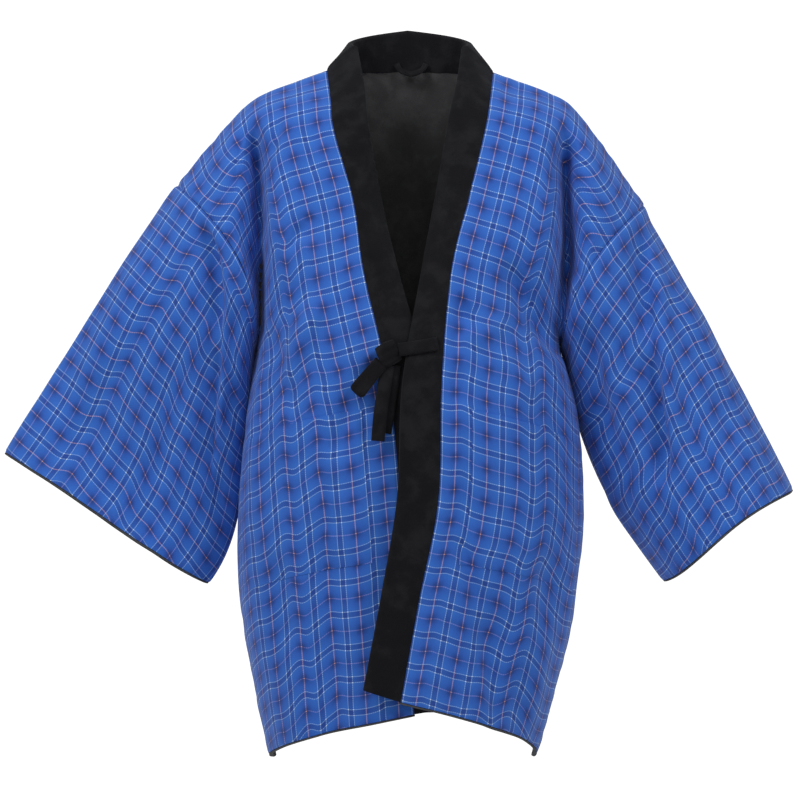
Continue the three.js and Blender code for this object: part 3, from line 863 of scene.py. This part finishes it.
@dataclass
class BackPanel:
    """The back of the shell with its lining, in one width from armhole to armhole.

    Folds fade in over fold_fade, a share of a row at the side and rows at the shoulder, and creases over
    crease_fade millimetres. The weft is level at level_row, so the neck and the shoulders cut across it.
    """

    half_columns: int = 76
    rows: int = 201
    fold_fade: tuple[float, float] = (0.14, 0.8)
    crease_fade: float = 20.0
    level_row: float = 3.0
    seed: int = 41

    def half(self, side: Side, shares: Array, v: Array) -> Array:
        """Bend one half's rows from the middle to the side, then lead the top to the neck and shoulder seams.

        Args:
            side: The half of the body.
            shares: Shares of a row, from the middle.
            v: Rows of the table.

        Returns:
            A grid of points.
        """
        corner = along(side.back, v)
        middle = corner * np.array([0.0, 1.0, 1.0])
        lead = np.clip(1 - v, 0, 1)[:, None] ** 2
        middle += (NAPE - middle) * lead
        power = np.minimum(along(side.power, v)[:, 0], BACK_POWER)
        grid = bent_rows(middle, corner, side_points(side, v, Facing.BACK), power, shares)
        first = grid[0].copy()
        fade = smooth(0, self.fold_fade[0], 1 - shares[None]) * smooth(0, self.fold_fade[1], v[:, None])
        folds, _ = fold_moves(BACK_FOLDS, grid[..., 0], grid[..., 2])
        grid[..., 1] -= folds * fade * smooth(*TURNING, grid[..., 1])
        neck = neck_points(side, np.clip(1 - shares / NECK_SHARE, 0, 1))
        ridge = front_rows(side, np.clip((shares - NECK_SHARE) / (1 - NECK_SHARE), 0, 1), np.zeros(1))[0]
        top = np.where((shares <= NECK_SHARE)[:, None], neck, ridge) - first
        return grid + top[None] * (np.maximum(0, 1 - v / SHOULDER_ROWS) ** 2)[:, None, None]

    def cloth(self) -> Cloth:
        """Join the halves, then add creases, wadding and puckers.

        Returns:
            The outer face.
        """
        shares, v = np.linspace(0, 1, self.half_columns), np.linspace(0, HEM, self.rows)
        right, left = self.half(RIGHT, shares, v), self.half(LEFT, shares, v)
        grid = np.concatenate([right[:, :0:-1], left], axis=1)
        across, down = reach_along(grid, 1), reach_along(grid, 0)
        edge = np.minimum(np.minimum(across, across[:, -1:] - across), down)
        grid = Cloth(grid, across, down, 1.0).creased(BACK_CREASES, smooth(0, self.crease_fade, edge))
        across = reach_along(grid, 1)
        middle = across[:, self.half_columns - 1: self.half_columns]
        cloth = Cloth(grid, across - middle, reach_along(grid, 0), 1.0)
        return cloth.pressed(panel_relief(cloth, v[:, None], self.seed, collar=False))

    def build(self, plaid: bpy.types.Material, fleece: bpy.types.Material, hanger: bpy.types.Object) -> None:
        """Args:
            plaid: The shell's finish.
            fleece: The lining's finish.
            hanger: The hanger loop; not used.
        """
        cloth = self.cloth()
        level = cloth.down[round(self.level_row / HEM * (self.rows - 1))]
        flat = cloth.uv()
        flat[..., 1] += (level.mean() - level) * MM
        shell, lining = layers("back", cloth, flat, plaid, fleece)


@dataclass
class Sleeve:
    """A square sleeve: a tube folded along its top, with a rounded lower corner at the cuff.

    Creases show only where the ring stands upright, between two values of upright, and fade in over crease_fade
    millimetres. The seam's puckers leave the lower fold alone over below turns.
    """

    side: Side
    turns: int = 144
    rings: int = 121
    corner_width: float = 0.14
    corner_back: float = 0.05
    corner_lift: float = 4.0
    corner_from: float = 0.6
    bulge: float = 3.0
    upright: tuple[float, float] = (0.25, 0.6)
    crease_fade: float = 30.0
    below: float = 0.07
    seam_start: float = 400.0

    def surface(self, turn: Array, w: Array) -> Array:
        """Run rings between a bulging top line and a lower Bezier curve, and round off the cuff's lower corner.

        Args:
            turn: Turns from the upper fold over the front.
            w: Shares of the way from armhole to cuff.

        Returns:
            A grid of points.
        """
        side = self.side
        corner = np.exp(-(((turn % 1 - 0.5) / self.corner_width) ** 2)) * smooth(self.corner_from, 1, w)
        hollow = side.cuff_hollow * np.sin(2 * math.pi * turn) ** 2 * smooth(self.corner_from, 1, w)
        reach = (w * (1 - corner * self.corner_back - hollow))[..., None]
        arm_top, arm_bottom, cuff_top, cuff_bottom = (
            np.array(p, float) for p in (side.arm_top, side.arm_bottom, side.cuff_top, side.cuff_bottom))
        first, second = (np.array(p, float) for p in side.underside)
        line = arm_top + (cuff_top - arm_top) * reach
        line = line + np.array([side.sign, 0, 0.5]) * self.bulge * np.sin(math.pi * reach)
        low = (arm_bottom * (1 - reach) ** 3 + 3 * first * reach * (1 - reach) ** 2
               + 3 * second * reach**2 * (1 - reach) + cuff_bottom * reach**3)
        shift = side.sign * side.arm_shift * (1 - smooth(0, 0.5, reach[..., 0]))
        length = SLEEVE_ROUND + (CUFF_ROUND - SLEEVE_ROUND) * np.broadcast_to(w, reach.shape[:-1])
        point = ring_points(line, low, shift, np.broadcast_to(turn, length.shape) * 2 * math.pi, length)
        return point + unit(line - low) * (self.corner_lift * corner)[..., None]

    def cloth(self) -> tuple[Cloth, Array]:
        """Lay the tube out and add creases, wadding and puckers.

        Returns:
            The outer face, and its flat coordinates with the closing column.
        """
        turn = np.linspace(-0.5, 0.5, self.turns + 1)[None]
        w = np.linspace(0, 1, self.rings)[:, None]
        grid = self.surface(turn, w)
        down = reach_along(grid, 0)
        cloth = Cloth(grid[:, :-1], down[:, :-1], down[:, :-1], self.side.sign, closed=True)
        upright = smooth(*self.upright, np.abs(np.sin(2 * math.pi * turn[:, :-1])))
        points = cloth.creased(self.side.sleeve_creases, smooth(0, self.crease_fade, cloth.down) * upright)
        grid = np.concatenate([points, points[:, :1]], axis=1)
        across = reach_along(grid, 1)
        across -= across[:, self.turns // 2: self.turns // 2 + 1]
        down = reach_along(grid, 0)
        flat = np.stack([down, across], axis=-1) * MM
        cloth = Cloth(points, across[:, :-1], down[:, :-1], self.side.sign, closed=True)
        around = np.abs(cloth.across)
        depth = WADDING.depth(cloth, np.minimum(cloth.down, around.max() - around), self.side.seed + 5)
        below = np.exp(-(((0.5 - np.abs(turn[:, :-1])) / self.below) ** 2))
        depth += SEAM.depth(cloth.down, cloth.across + self.seam_start, self.side.seed + 6) * (1 - below)
        return cloth.pressed(depth), flat

    def build(self, plaid: bpy.types.Material, fleece: bpy.types.Material) -> None:
        """Args:
            plaid: The shell's finish.
            fleece: The lining's finish.
        """
        (cloth, flat), name = self.cloth(), self.side.name
        shell, lining = layers(f"sleeve_{name}", cloth, flat, plaid, fleece)


@dataclass
class CollarBand:
    """The padded band that runs from hem to hem round the neck, folded double and sewn along one edge."""

    thick: float = 8.0
    proud: float = 1.0
    clear: float = -1.2
    crown: float = 1.3
    front_stations: int = 190
    neck_stations: int = 40
    neck_corner: tuple[float, float, float] = (-2, -4, 43)
    neck_nape: tuple[float, float, float] = (0, -2, 52)
    flat_steps: int = 12
    edge_steps: int = 9
    flat_share: float = 0.9
    crown_power: float = 0.8
    ripple: float = 0.8
    ripple_cell: tuple[float, float] = (34.0, 60.0)
    ripple_reach: float = 10.0
    evenings: int = 6
    seed: int = 61

    def stations(self) -> tuple[Array, Array]:
        """Give the seam's points and the leads to the free edge, from the left hem round to the right one.

        Returns:
            Seam points and leads.
        """
        v = np.linspace(0, HEM, self.front_stations)
        turn = np.linspace(0, 1, self.neck_stations)[1:]
        seams, leads = [], []
        for side in (LEFT, RIGHT):
            band = np.array(side.band[0], float)
            corner = np.array(self.neck_corner, float) * np.array([side.sign, 1, 1])
            t = turn[:, None]
            lead = band * (1 - t) ** 2 + 2 * corner * t * (1 - t) + np.array(self.neck_nape, float) * t**2
            seams.append(np.concatenate([along(side.seam, v)[::-1], neck_points(side, turn)]))
            leads.append(np.concatenate([along(side.band, v)[::-1], lead]))
        return (np.concatenate([seams[0], seams[1][-2::-1]]), np.concatenate([leads[0], leads[1][-2::-1]]))

    def section(self) -> Array:
        """Give the section as rows of across (0 at the seam, 1 at the free edge) and height in thicknesses.

        The outer face is flat, the free edge is half an ellipse and the inner face is flat again.

        Returns:
            The section's points.
        """
        flat = np.linspace(0, self.flat_share, self.flat_steps)
        angle = np.linspace(math.pi / 2, -math.pi / 2, self.edge_steps + 2)[1:-1]
        edge = self.flat_share + (1 - self.flat_share) * np.cos(angle)
        across = np.concatenate([flat, edge, flat[::-1]])
        height = np.concatenate([np.full(self.flat_steps, 0.5), 0.5 * np.sin(angle), np.full(self.flat_steps, -0.5)])
        return np.stack([across, height], axis=-1)

    def build(self, fleece: bpy.types.Material) -> None:
        """Args:
            fleece: The band's finish.
        """
        seam, lead = self.stations()
        run = np.gradient(seam, axis=0)
        normal = unit(np.cross(run, lead))
        for _ in range(self.evenings):
            normal[1:-1] = unit(normal[:-2] + 2 * normal[1:-1] + normal[2:])
        long = np.insert(np.cumsum(np.linalg.norm(np.diff(seam, axis=0), axis=-1)), 0, 0)[:, None]
        across, height = (column[None] for column in self.section().T)
        start = seam + unit(lead) * self.clear
        wide = np.linalg.norm(lead, axis=-1, keepdims=True) * across
        face = np.sign(height) * smooth(0, 0.5, np.abs(height))
        long = np.broadcast_to(long, wide.shape)
        puff = self.crown * np.sin(math.pi * np.clip(across, 0, 1)) ** self.crown_power
        waves = crumple(long, wide, self.ripple_cell, self.seed) * smooth(0, self.ripple_reach, wide)
        puff = puff + self.ripple * waves - SEAM.depth(wide, long, self.seed + 1) * (face > 0)
        out = self.proud - self.thick / 2 + height * self.thick + face * puff
        rings = start[:, None] + lead[:, None] * across[..., None] + normal[:, None] * out[..., None]
        band = tube("collar", rings)
        settle(band, fleece)


@dataclass(frozen=True)
class Strap:
    """A flat strap along a path in millimetres; across is the direction of its width."""

    name: str
    path: tuple[tuple[float, float, float], ...]
    across: tuple[float, float, float]
    width: float = 15.5
    thick: float = 4.6
    waist: float = 0.0
    tip: float = 0.0
    ridges: float = 0.0
    ridge_count: int = 3
    squareness: float = 0.6
    tip_reach: float = 0.05
    ripple: float = 0.35
    ripple_cell: tuple[float, float] = (9.0, 6.0)
    ripple_span: tuple[float, float] = (14.0, 8.0)
    ripple_start: float = 20.0
    steps: int = 12
    places: int = 36
    seed: int = 5

    def rings(self) -> Array:
        """Carry a rounded flat section, cos^q and sin^q of the angle, along a Catmull-Rom path.

        Returns:
            Rings of points.
        """
        t = np.linspace(0, len(self.path) - 1, self.steps * (len(self.path) - 1) + 1)
        line = along(self.path, t)
        run = unit(np.gradient(line, axis=0))
        flat = unit(np.cross(run, np.array(self.across, float)))
        wide = unit(np.cross(flat, run))
        angle = np.linspace(0, 2 * math.pi, self.places, endpoint=False)[None]
        share = (t / t[-1])[:, None]
        tip = self.tip * np.exp(-(((share - 0.5) / self.tip_reach) ** 2))
        a, b = (np.sign(x) * np.abs(x) ** self.squareness for x in (np.cos(angle), np.sin(angle)))
        wave = self.ridges * np.cos(math.pi * self.ridge_count * a + 3 * share)
        long = t[:, None] * self.ripple_span[0] + 0 * a
        around = a * self.ripple_span[1] + self.ripple_start
        wave = wave + self.ripple * crumple(long, around, self.ripple_cell, self.seed)
        side = a * self.width / 2 * (1 - self.waist * np.sin(math.pi * share) - tip)
        out = b * (self.thick / 2 + wave)
        return line[:, None] + wide[:, None] * side[..., None] + flat[:, None] * out[..., None]

    def length(self) -> float:
        """Return the strap's length in metres."""
        rings = self.rings().mean(axis=1)
        return float(np.linalg.norm(np.diff(rings, axis=0), axis=-1).sum()) * MM

    def build(self, slot: Slot, finish: bpy.types.Material) -> bpy.types.Object:
        """Make the strap and settle it on the body.

        Args:
            slot: Not used.
            finish: Its finish.

        Returns:
            The object.
        """
        obj = tube(self.name, self.rings())
        settle(obj, finish)
        return obj


@dataclass
class Bow:
    """The ties: a strap from the left band to a knot, one bow loop and two hanging tails."""

    strap: Strap = Strap("tie_strap", ((34, -139.4, -329), (12, -140.4, -333), (-11, -140.6, -336.5)), (0, 0.28, 1))
    knot: Strap = Strap("tie_knot", ((-13, -137.4, -336), (-23, -139.6, -341), (-33, -137, -346)), (0.15, 0, 1),
                        width=25, thick=11, waist=-0.12, ridges=0.8, squareness=0.8, steps=18)
    loop: Strap = Strap("tie_loop", (
        (-31, -131.8, -350), (-44, -132.6, -366), (-54.5, -134.2, -379), (-59, -138.6, -385), (-54.5, -143, -379),
        (-44, -142.6, -366), (-32, -141, -352)), (-0.77, 0, 0.64), width=17, thick=5, waist=-0.18, tip=0.22)
    tails: tuple[Strap, Strap] = (
        Strap("tie_tail_1", ((-24, -138, -354), (-28, -140.2, -380), (-32.5, -140.6, -412), (-35, -139.4, -441)),
              (1, 0, 0.05)),
        Strap("tie_tail_2", ((-16, -133.6, -354), (-20, -136.2, -385), (-24.5, -136, -415), (-27.5, -135, -432)),
              (1, 0, -0.05)),
    )

    def build(self, fleece: bpy.types.Material) -> None:
        """Make the ties; the flat ones are sheets of doubled cloth and the knot is padded.

        Args:
            fleece: Their finish.
        """
        for strap in (self.strap, self.loop, *self.tails):
            obj = strap.build(Slot.FLEECE, fleece)
            strap.length()
        self.knot.build(Slot.FLEECE, fleece)


@dataclass
class HangerLoop:
    """A short ribbed tape that droops between its sewn ends at the nape."""

    tape: Strap = Strap("hanger_loop", ((-14, 61, 17), (-9, 57.5, 9), (4, 56.5, 4), (17, 57.5, 9), (22, 60, 17)),
                        (0, 0.4, 1), width=7, thick=2.0)

    def build(self, finish: bpy.types.Material) -> bpy.types.Object:
        """Make the tape, which is caught in the neck seam with the back lining.

        Args:
            finish: Its finish.

        Returns:
            The tape.
        """
        return self.tape.build(Slot.TAPE, finish)


class Graph:
    """A thin hand on a node tree."""

    def __init__(self, tree: bpy.types.NodeTree) -> None:
        """Keep the tree."""
        self.tree = tree

    def node(self, kind: str, **settings: object) -> bpy.types.Node:
        """Add a node and set its options."""
        node = self.tree.nodes.new(kind)
        for name, value in settings.items():
            setattr(node, name, value)
        return node

    def feed(self, socket: bpy.types.NodeSocket, value: object) -> None:
        """Link a socket to an input, or set the input's value."""
        if isinstance(value, bpy.types.NodeSocket):
            self.tree.links.new(value, socket)
        else:
            socket.default_value = value

    def math(self, operation: str, *values: object) -> bpy.types.NodeSocket:
        """Add a Math node and return its output."""
        node = self.node("ShaderNodeMath", operation=operation)
        for socket, value in zip(node.inputs, values):
            self.feed(socket, value)
        return node.outputs[0]

    def mix(self, factor: object, a: object, b: object, blend: str = "MIX") -> bpy.types.NodeSocket:
        """Mix two colours and return the result."""
        node = self.node("ShaderNodeMix", data_type="RGBA", blend_type=blend)
        self.feed(node.inputs["Factor"], factor)
        self.feed(node.inputs[6], a)
        self.feed(node.inputs[7], b)
        return node.outputs[2]

    def noise(self, vector: object, scale: float, detail: float = 2.0, roughness: float = 0.5) -> bpy.types.NodeSocket:
        """Add a Noise Texture and return its factor."""
        node = self.node("ShaderNodeTexNoise")
        self.feed(node.inputs["Vector"], vector)
        for socket, setting in (("Scale", scale), ("Detail", detail), ("Roughness", roughness)):
            self.feed(node.inputs[socket], setting)
        return node.outputs["Factor" if "Factor" in node.outputs else "Fac"]

    def step(self, value: object, low: float, high: float) -> bpy.types.NodeSocket:
        """Ease a value from 0 at low to 1 at high."""
        node = self.node("ShaderNodeMapRange", interpolation_type="SMOOTHSTEP")
        self.feed(node.inputs["Value"], value)
        self.feed(node.inputs["From Min"], low)
        self.feed(node.inputs["From Max"], high)
        return node.outputs["Result"]

    def bump(self, height: object, strength: float, distance: float) -> bpy.types.NodeSocket:
        """Turn a height into a normal."""
        node = self.node("ShaderNodeBump")
        for socket, setting in (("Height", height), ("Strength", strength), ("Distance", distance)):
            self.feed(node.inputs[socket], setting)
        return node.outputs["Normal"]


def node_group(name: str, inputs: dict[str, str], outputs: dict[str, str]) -> bpy.types.NodeTree:
    """Start a shader node group with the named sockets, each of a kind such as Float or Color."""
    tree = bpy.data.node_groups.new(name, "ShaderNodeTree")
    for in_out, sockets in (("INPUT", inputs), ("OUTPUT", outputs)):
        for label, kind in sockets.items():
            tree.interface.new_socket(label, in_out=in_out, socket_type=f"NodeSocket{kind}")
    return tree


def finish_graph(name: str) -> tuple[bpy.types.Material, Graph, bpy.types.Node]:
    """Start a finish and return its material, its graph and its shader."""
    material = bpy.data.materials.new(name)
    material.use_nodes = True
    return material, Graph(material.node_tree), material.node_tree.nodes["Principled BSDF"]


def linear(red: int, green: int, blue: int) -> tuple[float, float, float, float]:
    """Turn a colour as seen on a screen, 0 to 255, into the linear colour that a shader takes."""
    share = np.array([red, green, blue]) / 255
    values = np.where(share <= 0.04045, share / 12.92, ((share + 0.055) / 1.055) ** 2.4)
    return (*values.tolist(), 1.0)


@dataclass(frozen=True)
class Yarn:
    """One stripe of the repeat: how far it starts from the middle of a pair of pale lines, its colour and its blur."""

    start: float
    color: tuple[int, int, int]
    blur: float = 0.2


@dataclass(frozen=True)
class PlaidCotton:
    """Yarn-dyed blue plaid: pairs of pale lines both ways, and one coloured line midway between two pairs."""

    repeat: float = 37.6
    cell: float = 1.25
    stripes: tuple[Yarn, ...] = (
        Yarn(0.0, (28, 66, 149)),
        Yarn(3.0, (150, 187, 236)),
        Yarn(3.9, (43, 103, 195)),
        Yarn(9.5, (36, 89, 181), 3.0),
        Yarn(14.5, (30, 73, 160), 2.5),
    )
    warp_middle: tuple[int, int, int] = (192, 156, 172)
    weft_middle: tuple[int, int, int] = (136, 134, 200)
    dot: tuple[int, int, int] = (214, 158, 136)
    crossing: tuple[int, int, int] = (238, 246, 255)
    blotch: tuple[int, int, int] = (18, 24, 74)
    blotch_reach: float = 9.0
    blotch_strength: float = 0.56
    line_half: float = 0.85
    over: float = 0.38
    wander: float = 1.6
    wander_scale: float = 26.0
    wear: tuple[int, int, int] = (90, 136, 216)
    wear_share: float = 0.03
    wear_scale: float = 9.0
    fuzz: tuple[int, int, int] = (20, 40, 110)
    fuzz_share: float = 0.12
    fuzz_scale: float = 900.0
    roughness: float = 0.8
    specular: float = 0.25
    sheen: float = 0.1
    sheen_roughness: float = 0.6
    bump: float = 0.35
    bump_depth: float = 0.25

    def chart(self) -> bpy.types.NodeTree:
        """Build the group that turns a distance across the cloth into its yarn's colour and three masks.

        Near grows towards the middle line, Middle is the line itself and Pale is either pale line.

        Returns:
            The group.
        """
        tree = node_group("yarn chart", {"Distance": "Float", "Line": "Color"},
                          {"Color": "Color", "Near": "Float", "Middle": "Float", "Pale": "Float"})
        graph = Graph(tree)
        source, sink = graph.node("NodeGroupInput"), graph.node("NodeGroupOutput")
        half = self.repeat / 2
        place = graph.math("PINGPONG", graph.math("MULTIPLY", source.outputs[0], 1 / MM), half)
        ramp = graph.node("ShaderNodeValToRGB")
        graph.feed(ramp.inputs["Fac"], graph.math("DIVIDE", place, half))
        elements = ramp.color_ramp.elements
        stops = [(0.0, self.stripes[0].color)]
        for before, after in zip(self.stripes, self.stripes[1:]):
            stops += [(after.start - after.blur, before.color), (after.start + after.blur, after.color)]
        while len(elements) < len(stops):
            elements.new(0.5)
        for element, (at, color) in zip(elements, stops):
            element.position = at / half
            element.color = linear(*color)
        middle = graph.step(place, half - self.line_half, half - 0.25 * self.line_half)
        graph.feed(sink.inputs[0], graph.mix(middle, ramp.outputs["Color"], source.outputs[1]))
        graph.feed(sink.inputs[1], graph.step(place, half - self.blotch_reach, half))
        graph.feed(sink.inputs[2], middle)
        pale, after = self.stripes[1], self.stripes[2]
        past = graph.step(place, after.start - after.blur, after.start + after.blur)
        line = graph.step(place, pale.start - pale.blur, pale.start + pale.blur)
        graph.feed(sink.inputs[3], graph.math("SUBTRACT", line, past))
        return tree

    def weave(self) -> bpy.types.NodeTree:
        """Build the group that crosses the two ways of the yarn in a plain weave.

        The weft's share is 1/2 + over sin(pi u / cell) sin(pi v / cell), and the weave's height is the same wave.
        Where two middle lines cross there is a coloured dot in a soft dark blotch, and where two pale lines cross
        there is a white one.

        Returns:
            The group.
        """
        chart = self.chart()
        tree = node_group("plaid weave", {"Cloth": "Vector"}, {"Color": "Color", "Height": "Float"})
        graph = Graph(tree)
        source, sink = graph.node("NodeGroupInput"), graph.node("NodeGroupOutput")
        wander = graph.noise(source.outputs[0], self.wander_scale, 1.0)
        wander = graph.math("MULTIPLY", graph.math("SUBTRACT", wander, 0.5), self.wander * MM)
        split = graph.node("ShaderNodeSeparateXYZ")
        graph.feed(split.inputs[0], source.outputs[0])
        ways = [graph.math("ADD", split.outputs[k], wander) for k in (0, 1)]
        yarns, waves = [], []
        for way, middle in zip(ways, (self.warp_middle, self.weft_middle)):
            yarn = graph.node("ShaderNodeGroup", node_tree=chart)
            graph.feed(yarn.inputs[0], way)
            graph.feed(yarn.inputs[1], linear(*middle))
            yarns.append(yarn)
            waves.append(graph.math("SINE", graph.math("MULTIPLY", way, math.pi / (self.cell * MM))))
        warp, weft = yarns
        wave = graph.math("MULTIPLY", waves[0], waves[1])
        share = graph.math("MULTIPLY_ADD", wave, self.over, 0.5)
        color = graph.mix(share, warp.outputs["Color"], weft.outputs["Color"])
        pale = graph.math("MULTIPLY", warp.outputs["Pale"], weft.outputs["Pale"])
        color = graph.mix(pale, color, linear(*self.crossing))
        near = graph.math("MULTIPLY", warp.outputs["Near"], weft.outputs["Near"])
        color = graph.mix(graph.math("MULTIPLY", near, self.blotch_strength), color, linear(*self.blotch))
        dot = graph.math("MULTIPLY", warp.outputs["Middle"], weft.outputs["Middle"])
        graph.feed(sink.inputs[0], graph.mix(dot, color, linear(*self.dot)))
        graph.feed(sink.inputs[1], graph.math("ABSOLUTE", wave))
        return tree

    def material(self, name: str) -> bpy.types.Material:
        """Build the finish: woven colour with a slight wear, a fine bump and a little sheen.

        Args:
            name: The material's name.

        Returns:
            The material.
        """
        material, graph, shader = finish_graph(name)
        cloth = graph.node("ShaderNodeUVMap", uv_map="Cloth")
        woven = graph.node("ShaderNodeGroup", node_tree=self.weave())
        graph.feed(woven.inputs[0], cloth.outputs[0])
        place = graph.node("ShaderNodeTexCoord").outputs["Object"]
        faded = graph.step(graph.noise(place, self.wear_scale, 3.0), 0.35, 0.75)
        faded = graph.math("MULTIPLY", faded, self.wear_share)
        color = graph.mix(faded, woven.outputs["Color"], linear(*self.wear))
        fuzz = graph.noise(place, self.fuzz_scale, 2.0)
        fuzzy = graph.math("MULTIPLY", graph.step(fuzz, 0.3, 0.8), self.fuzz_share)
        color = graph.mix(fuzzy, color, linear(*self.fuzz))
        graph.feed(shader.inputs["Base Color"], color)
        graph.feed(shader.inputs["Roughness"], self.roughness)
        graph.feed(shader.inputs["Specular IOR Level"], self.specular)
        graph.feed(shader.inputs["Sheen Weight"], self.sheen)
        graph.feed(shader.inputs["Sheen Roughness"], self.sheen_roughness)
        height = graph.math("ADD", woven.outputs["Height"], fuzz)
        graph.feed(shader.inputs["Normal"], graph.bump(height, self.bump, self.bump_depth * MM))
        return material


@dataclass(frozen=True)
class Nap:
    """A near-black napped finish; ribs are how many cross ribs it has in each metre, with 0 for a plain nap."""

    dark: tuple[int, int, int] = (19, 19, 22)
    light: tuple[int, int, int] = (30, 30, 33)
    patch_scale: float = 38.0
    pile_scale: float = 620.0
    roughness: float = 0.92
    specular: float = 0.08
    sheen: float = 0.1
    sheen_roughness: float = 0.5
    sheen_tint: tuple[float, float, float, float] = (0.55, 0.57, 0.62, 1.0)
    bump: float = 0.6
    bump_depth: float = 0.8
    ribs: float = 0.0
    rib_height: float = 0.8

    def material(self, name: str) -> bpy.types.Material:
        """Build the finish: patches of brushed pile over a fine uneven bump.

        Args:
            name: The material's name.

        Returns:
            The material.
        """
        material, graph, shader = finish_graph(name)
        place = graph.node("ShaderNodeTexCoord").outputs["Object"]
        patches = graph.step(graph.noise(place, self.patch_scale, 3.0, 0.6), 0.35, 0.72)
        pile = graph.noise(place, self.pile_scale, 3.0, 0.65)
        tone = graph.math("MULTIPLY_ADD", pile, 0.5, graph.math("MULTIPLY", patches, 0.5))
        color = graph.mix(graph.step(tone, 0.25, 0.85), linear(*self.dark), linear(*self.light))
        graph.feed(shader.inputs["Base Color"], color)
        graph.feed(shader.inputs["Roughness"], self.roughness)
        graph.feed(shader.inputs["Specular IOR Level"], self.specular)
        graph.feed(shader.inputs["Sheen Weight"], self.sheen)
        graph.feed(shader.inputs["Sheen Roughness"], self.sheen_roughness)
        graph.feed(shader.inputs["Sheen Tint"], self.sheen_tint)
        height = pile
        if self.ribs:
            along_tape = graph.node("ShaderNodeSeparateXYZ")
            graph.feed(along_tape.inputs[0], graph.node("ShaderNodeUVMap", uv_map="Cloth").outputs[0])
            rib = graph.math("SINE", graph.math("MULTIPLY", along_tape.outputs[0], 2 * math.pi * self.ribs))
            height = graph.math("ADD", height, graph.math("MULTIPLY", rib, self.rib_height))
        graph.feed(shader.inputs["Normal"], graph.bump(height, self.bump, self.bump_depth * MM))
        return material


@dataclass(frozen=True)
class Softbox:
    """A large square light: its place, what it looks at, its size and its power."""

    name: str
    place: tuple[float, float, float]
    target: tuple[float, float, float]
    size: float
    power: float


@dataclass
class Studio:
    """A plain pale floor in a soft white room, two soft lights from above and a level camera at chest height.

    turn and rise are the directions, as sideways and upright shares, over which the room's light changes.
    """

    camera_place: tuple[float, float, float] = (-0.0096, -3.272, -0.402)
    lens: float = 120.0
    floor_height: float = -1.45
    floor_radius: float = 3.2
    ceiling: float = 0.36
    front_wall: float = 0.31
    back_wall: float = 1.12
    turn: tuple[float, float] = (0.2, 0.7)
    rise: tuple[float, float] = (0.2, 0.45)
    floor_color: tuple[float, float, float, float] = (0.8, 0.8, 0.8, 1.0)
    floor_roughness: float = 0.9
    floor_sides: int = 96
    boxes: tuple[Softbox, ...] = (
        Softbox("key", (-1.8, -1.7, 1.8), (0, 0, -0.3), 1.0, 52.0),
        Softbox("second key", (1.9, -1.8, 1.8), (0, 0, -0.3), 1.1, 39.0),
        Softbox("fill", (0.1, -3.4, 0.1), (0, 0, -0.4), 1.0, 7.0),
    )

    def floor(self) -> None:
        """Lay a round pale floor."""
        angle = np.linspace(0, 2 * math.pi, self.floor_sides, endpoint=False)
        points = np.stack([np.cos(angle), np.sin(angle), 0 * angle], axis=-1) * self.floor_radius
        points[:, 2] = self.floor_height
        mesh = bpy.data.meshes.new("pale_floor")
        mesh.from_pydata(points.tolist(), [], [list(range(len(points)))])
        disc = bpy.data.objects.new("pale_floor", mesh)
        bpy.context.scene.collection.objects.link(disc)
        paper, graph, shader = finish_graph("pale paper")
        graph.feed(shader.inputs["Base Color"], self.floor_color)
        graph.feed(shader.inputs["Roughness"], self.floor_roughness)
        mesh.materials.append(paper)

    def build(self) -> None:
        """Set the camera, the lights, the world and the view's plain colours."""
        scene = bpy.context.scene
        lens = bpy.data.cameras.new("camera")
        lens.lens = self.lens
        camera = bpy.data.objects.new("camera", lens)
        camera.location = self.camera_place
        camera.rotation_euler = (math.pi / 2, 0, 0)
        scene.collection.objects.link(camera)
        scene.camera = camera
        for box in self.boxes:
            light = bpy.data.lights.new(box.name, "AREA")
            light.shape, light.size, light.energy = "SQUARE", box.size, box.power
            lamp = bpy.data.objects.new(box.name, light)
            lamp.location = box.place
            way = Vector(box.target) - Vector(box.place)
            lamp.rotation_euler = way.to_track_quat("-Z", "Y").to_euler()
            scene.collection.objects.link(lamp)
        scene.world = self.room()
        scene.view_settings.view_transform = "Standard"
        self.floor()

    def room(self) -> bpy.types.World:
        """Build a room with a dim ceiling and floor, a white wall behind and a softer one in front.

        Returns:
            The world.
        """
        world = bpy.data.worlds.new("soft room")
        world.use_nodes = True
        graph = Graph(world.node_tree)
        split = graph.node("ShaderNodeSeparateXYZ")
        graph.feed(split.inputs[0], graph.node("ShaderNodeTexCoord").outputs["Generated"])
        behind = graph.step(split.outputs[1], *self.turn)
        walls = graph.math("MULTIPLY_ADD", behind, self.back_wall - self.front_wall, self.front_wall)
        level = graph.math("SUBTRACT", 1.0, graph.step(graph.math("ABSOLUTE", split.outputs[2]), *self.rise))
        light = graph.math("MULTIPLY_ADD", level, graph.math("SUBTRACT", walls, self.ceiling), self.ceiling)
        background = world.node_tree.nodes["Background"]
        graph.feed(background.inputs["Color"], (1, 1, 1, 1))
        graph.feed(background.inputs["Strength"], light)
        return world


def main() -> None:
    """Build the hanten piece by piece, then the studio."""
    logging.basicConfig(level=logging.INFO, format="%(name)s: %(message)s")
    plaid = PlaidCotton().material("blue plaid cotton")
    fleece = Nap().material("black fleece")
    # The lining is the same black fleece as the collar band; its much lighter grey here is painted light, standing in
    # for the light that barely reaches the hollow inside.
    lining = Nap(dark=(66, 66, 68), light=(78, 78, 80)).material("black fleece lining")
    tape = Nap(ribs=620.0).material("black ribbed tape")
    for side in (LEFT, RIGHT):
        FrontPanel(side).build(plaid, lining)
        Sleeve(side).build(plaid, lining)
    BackPanel().build(plaid, lining, HangerLoop().build(tape))
    CollarBand().build(fleece)
    Bow().build(fleece)
    Studio().build()


if __name__ == "__main__":
    main()
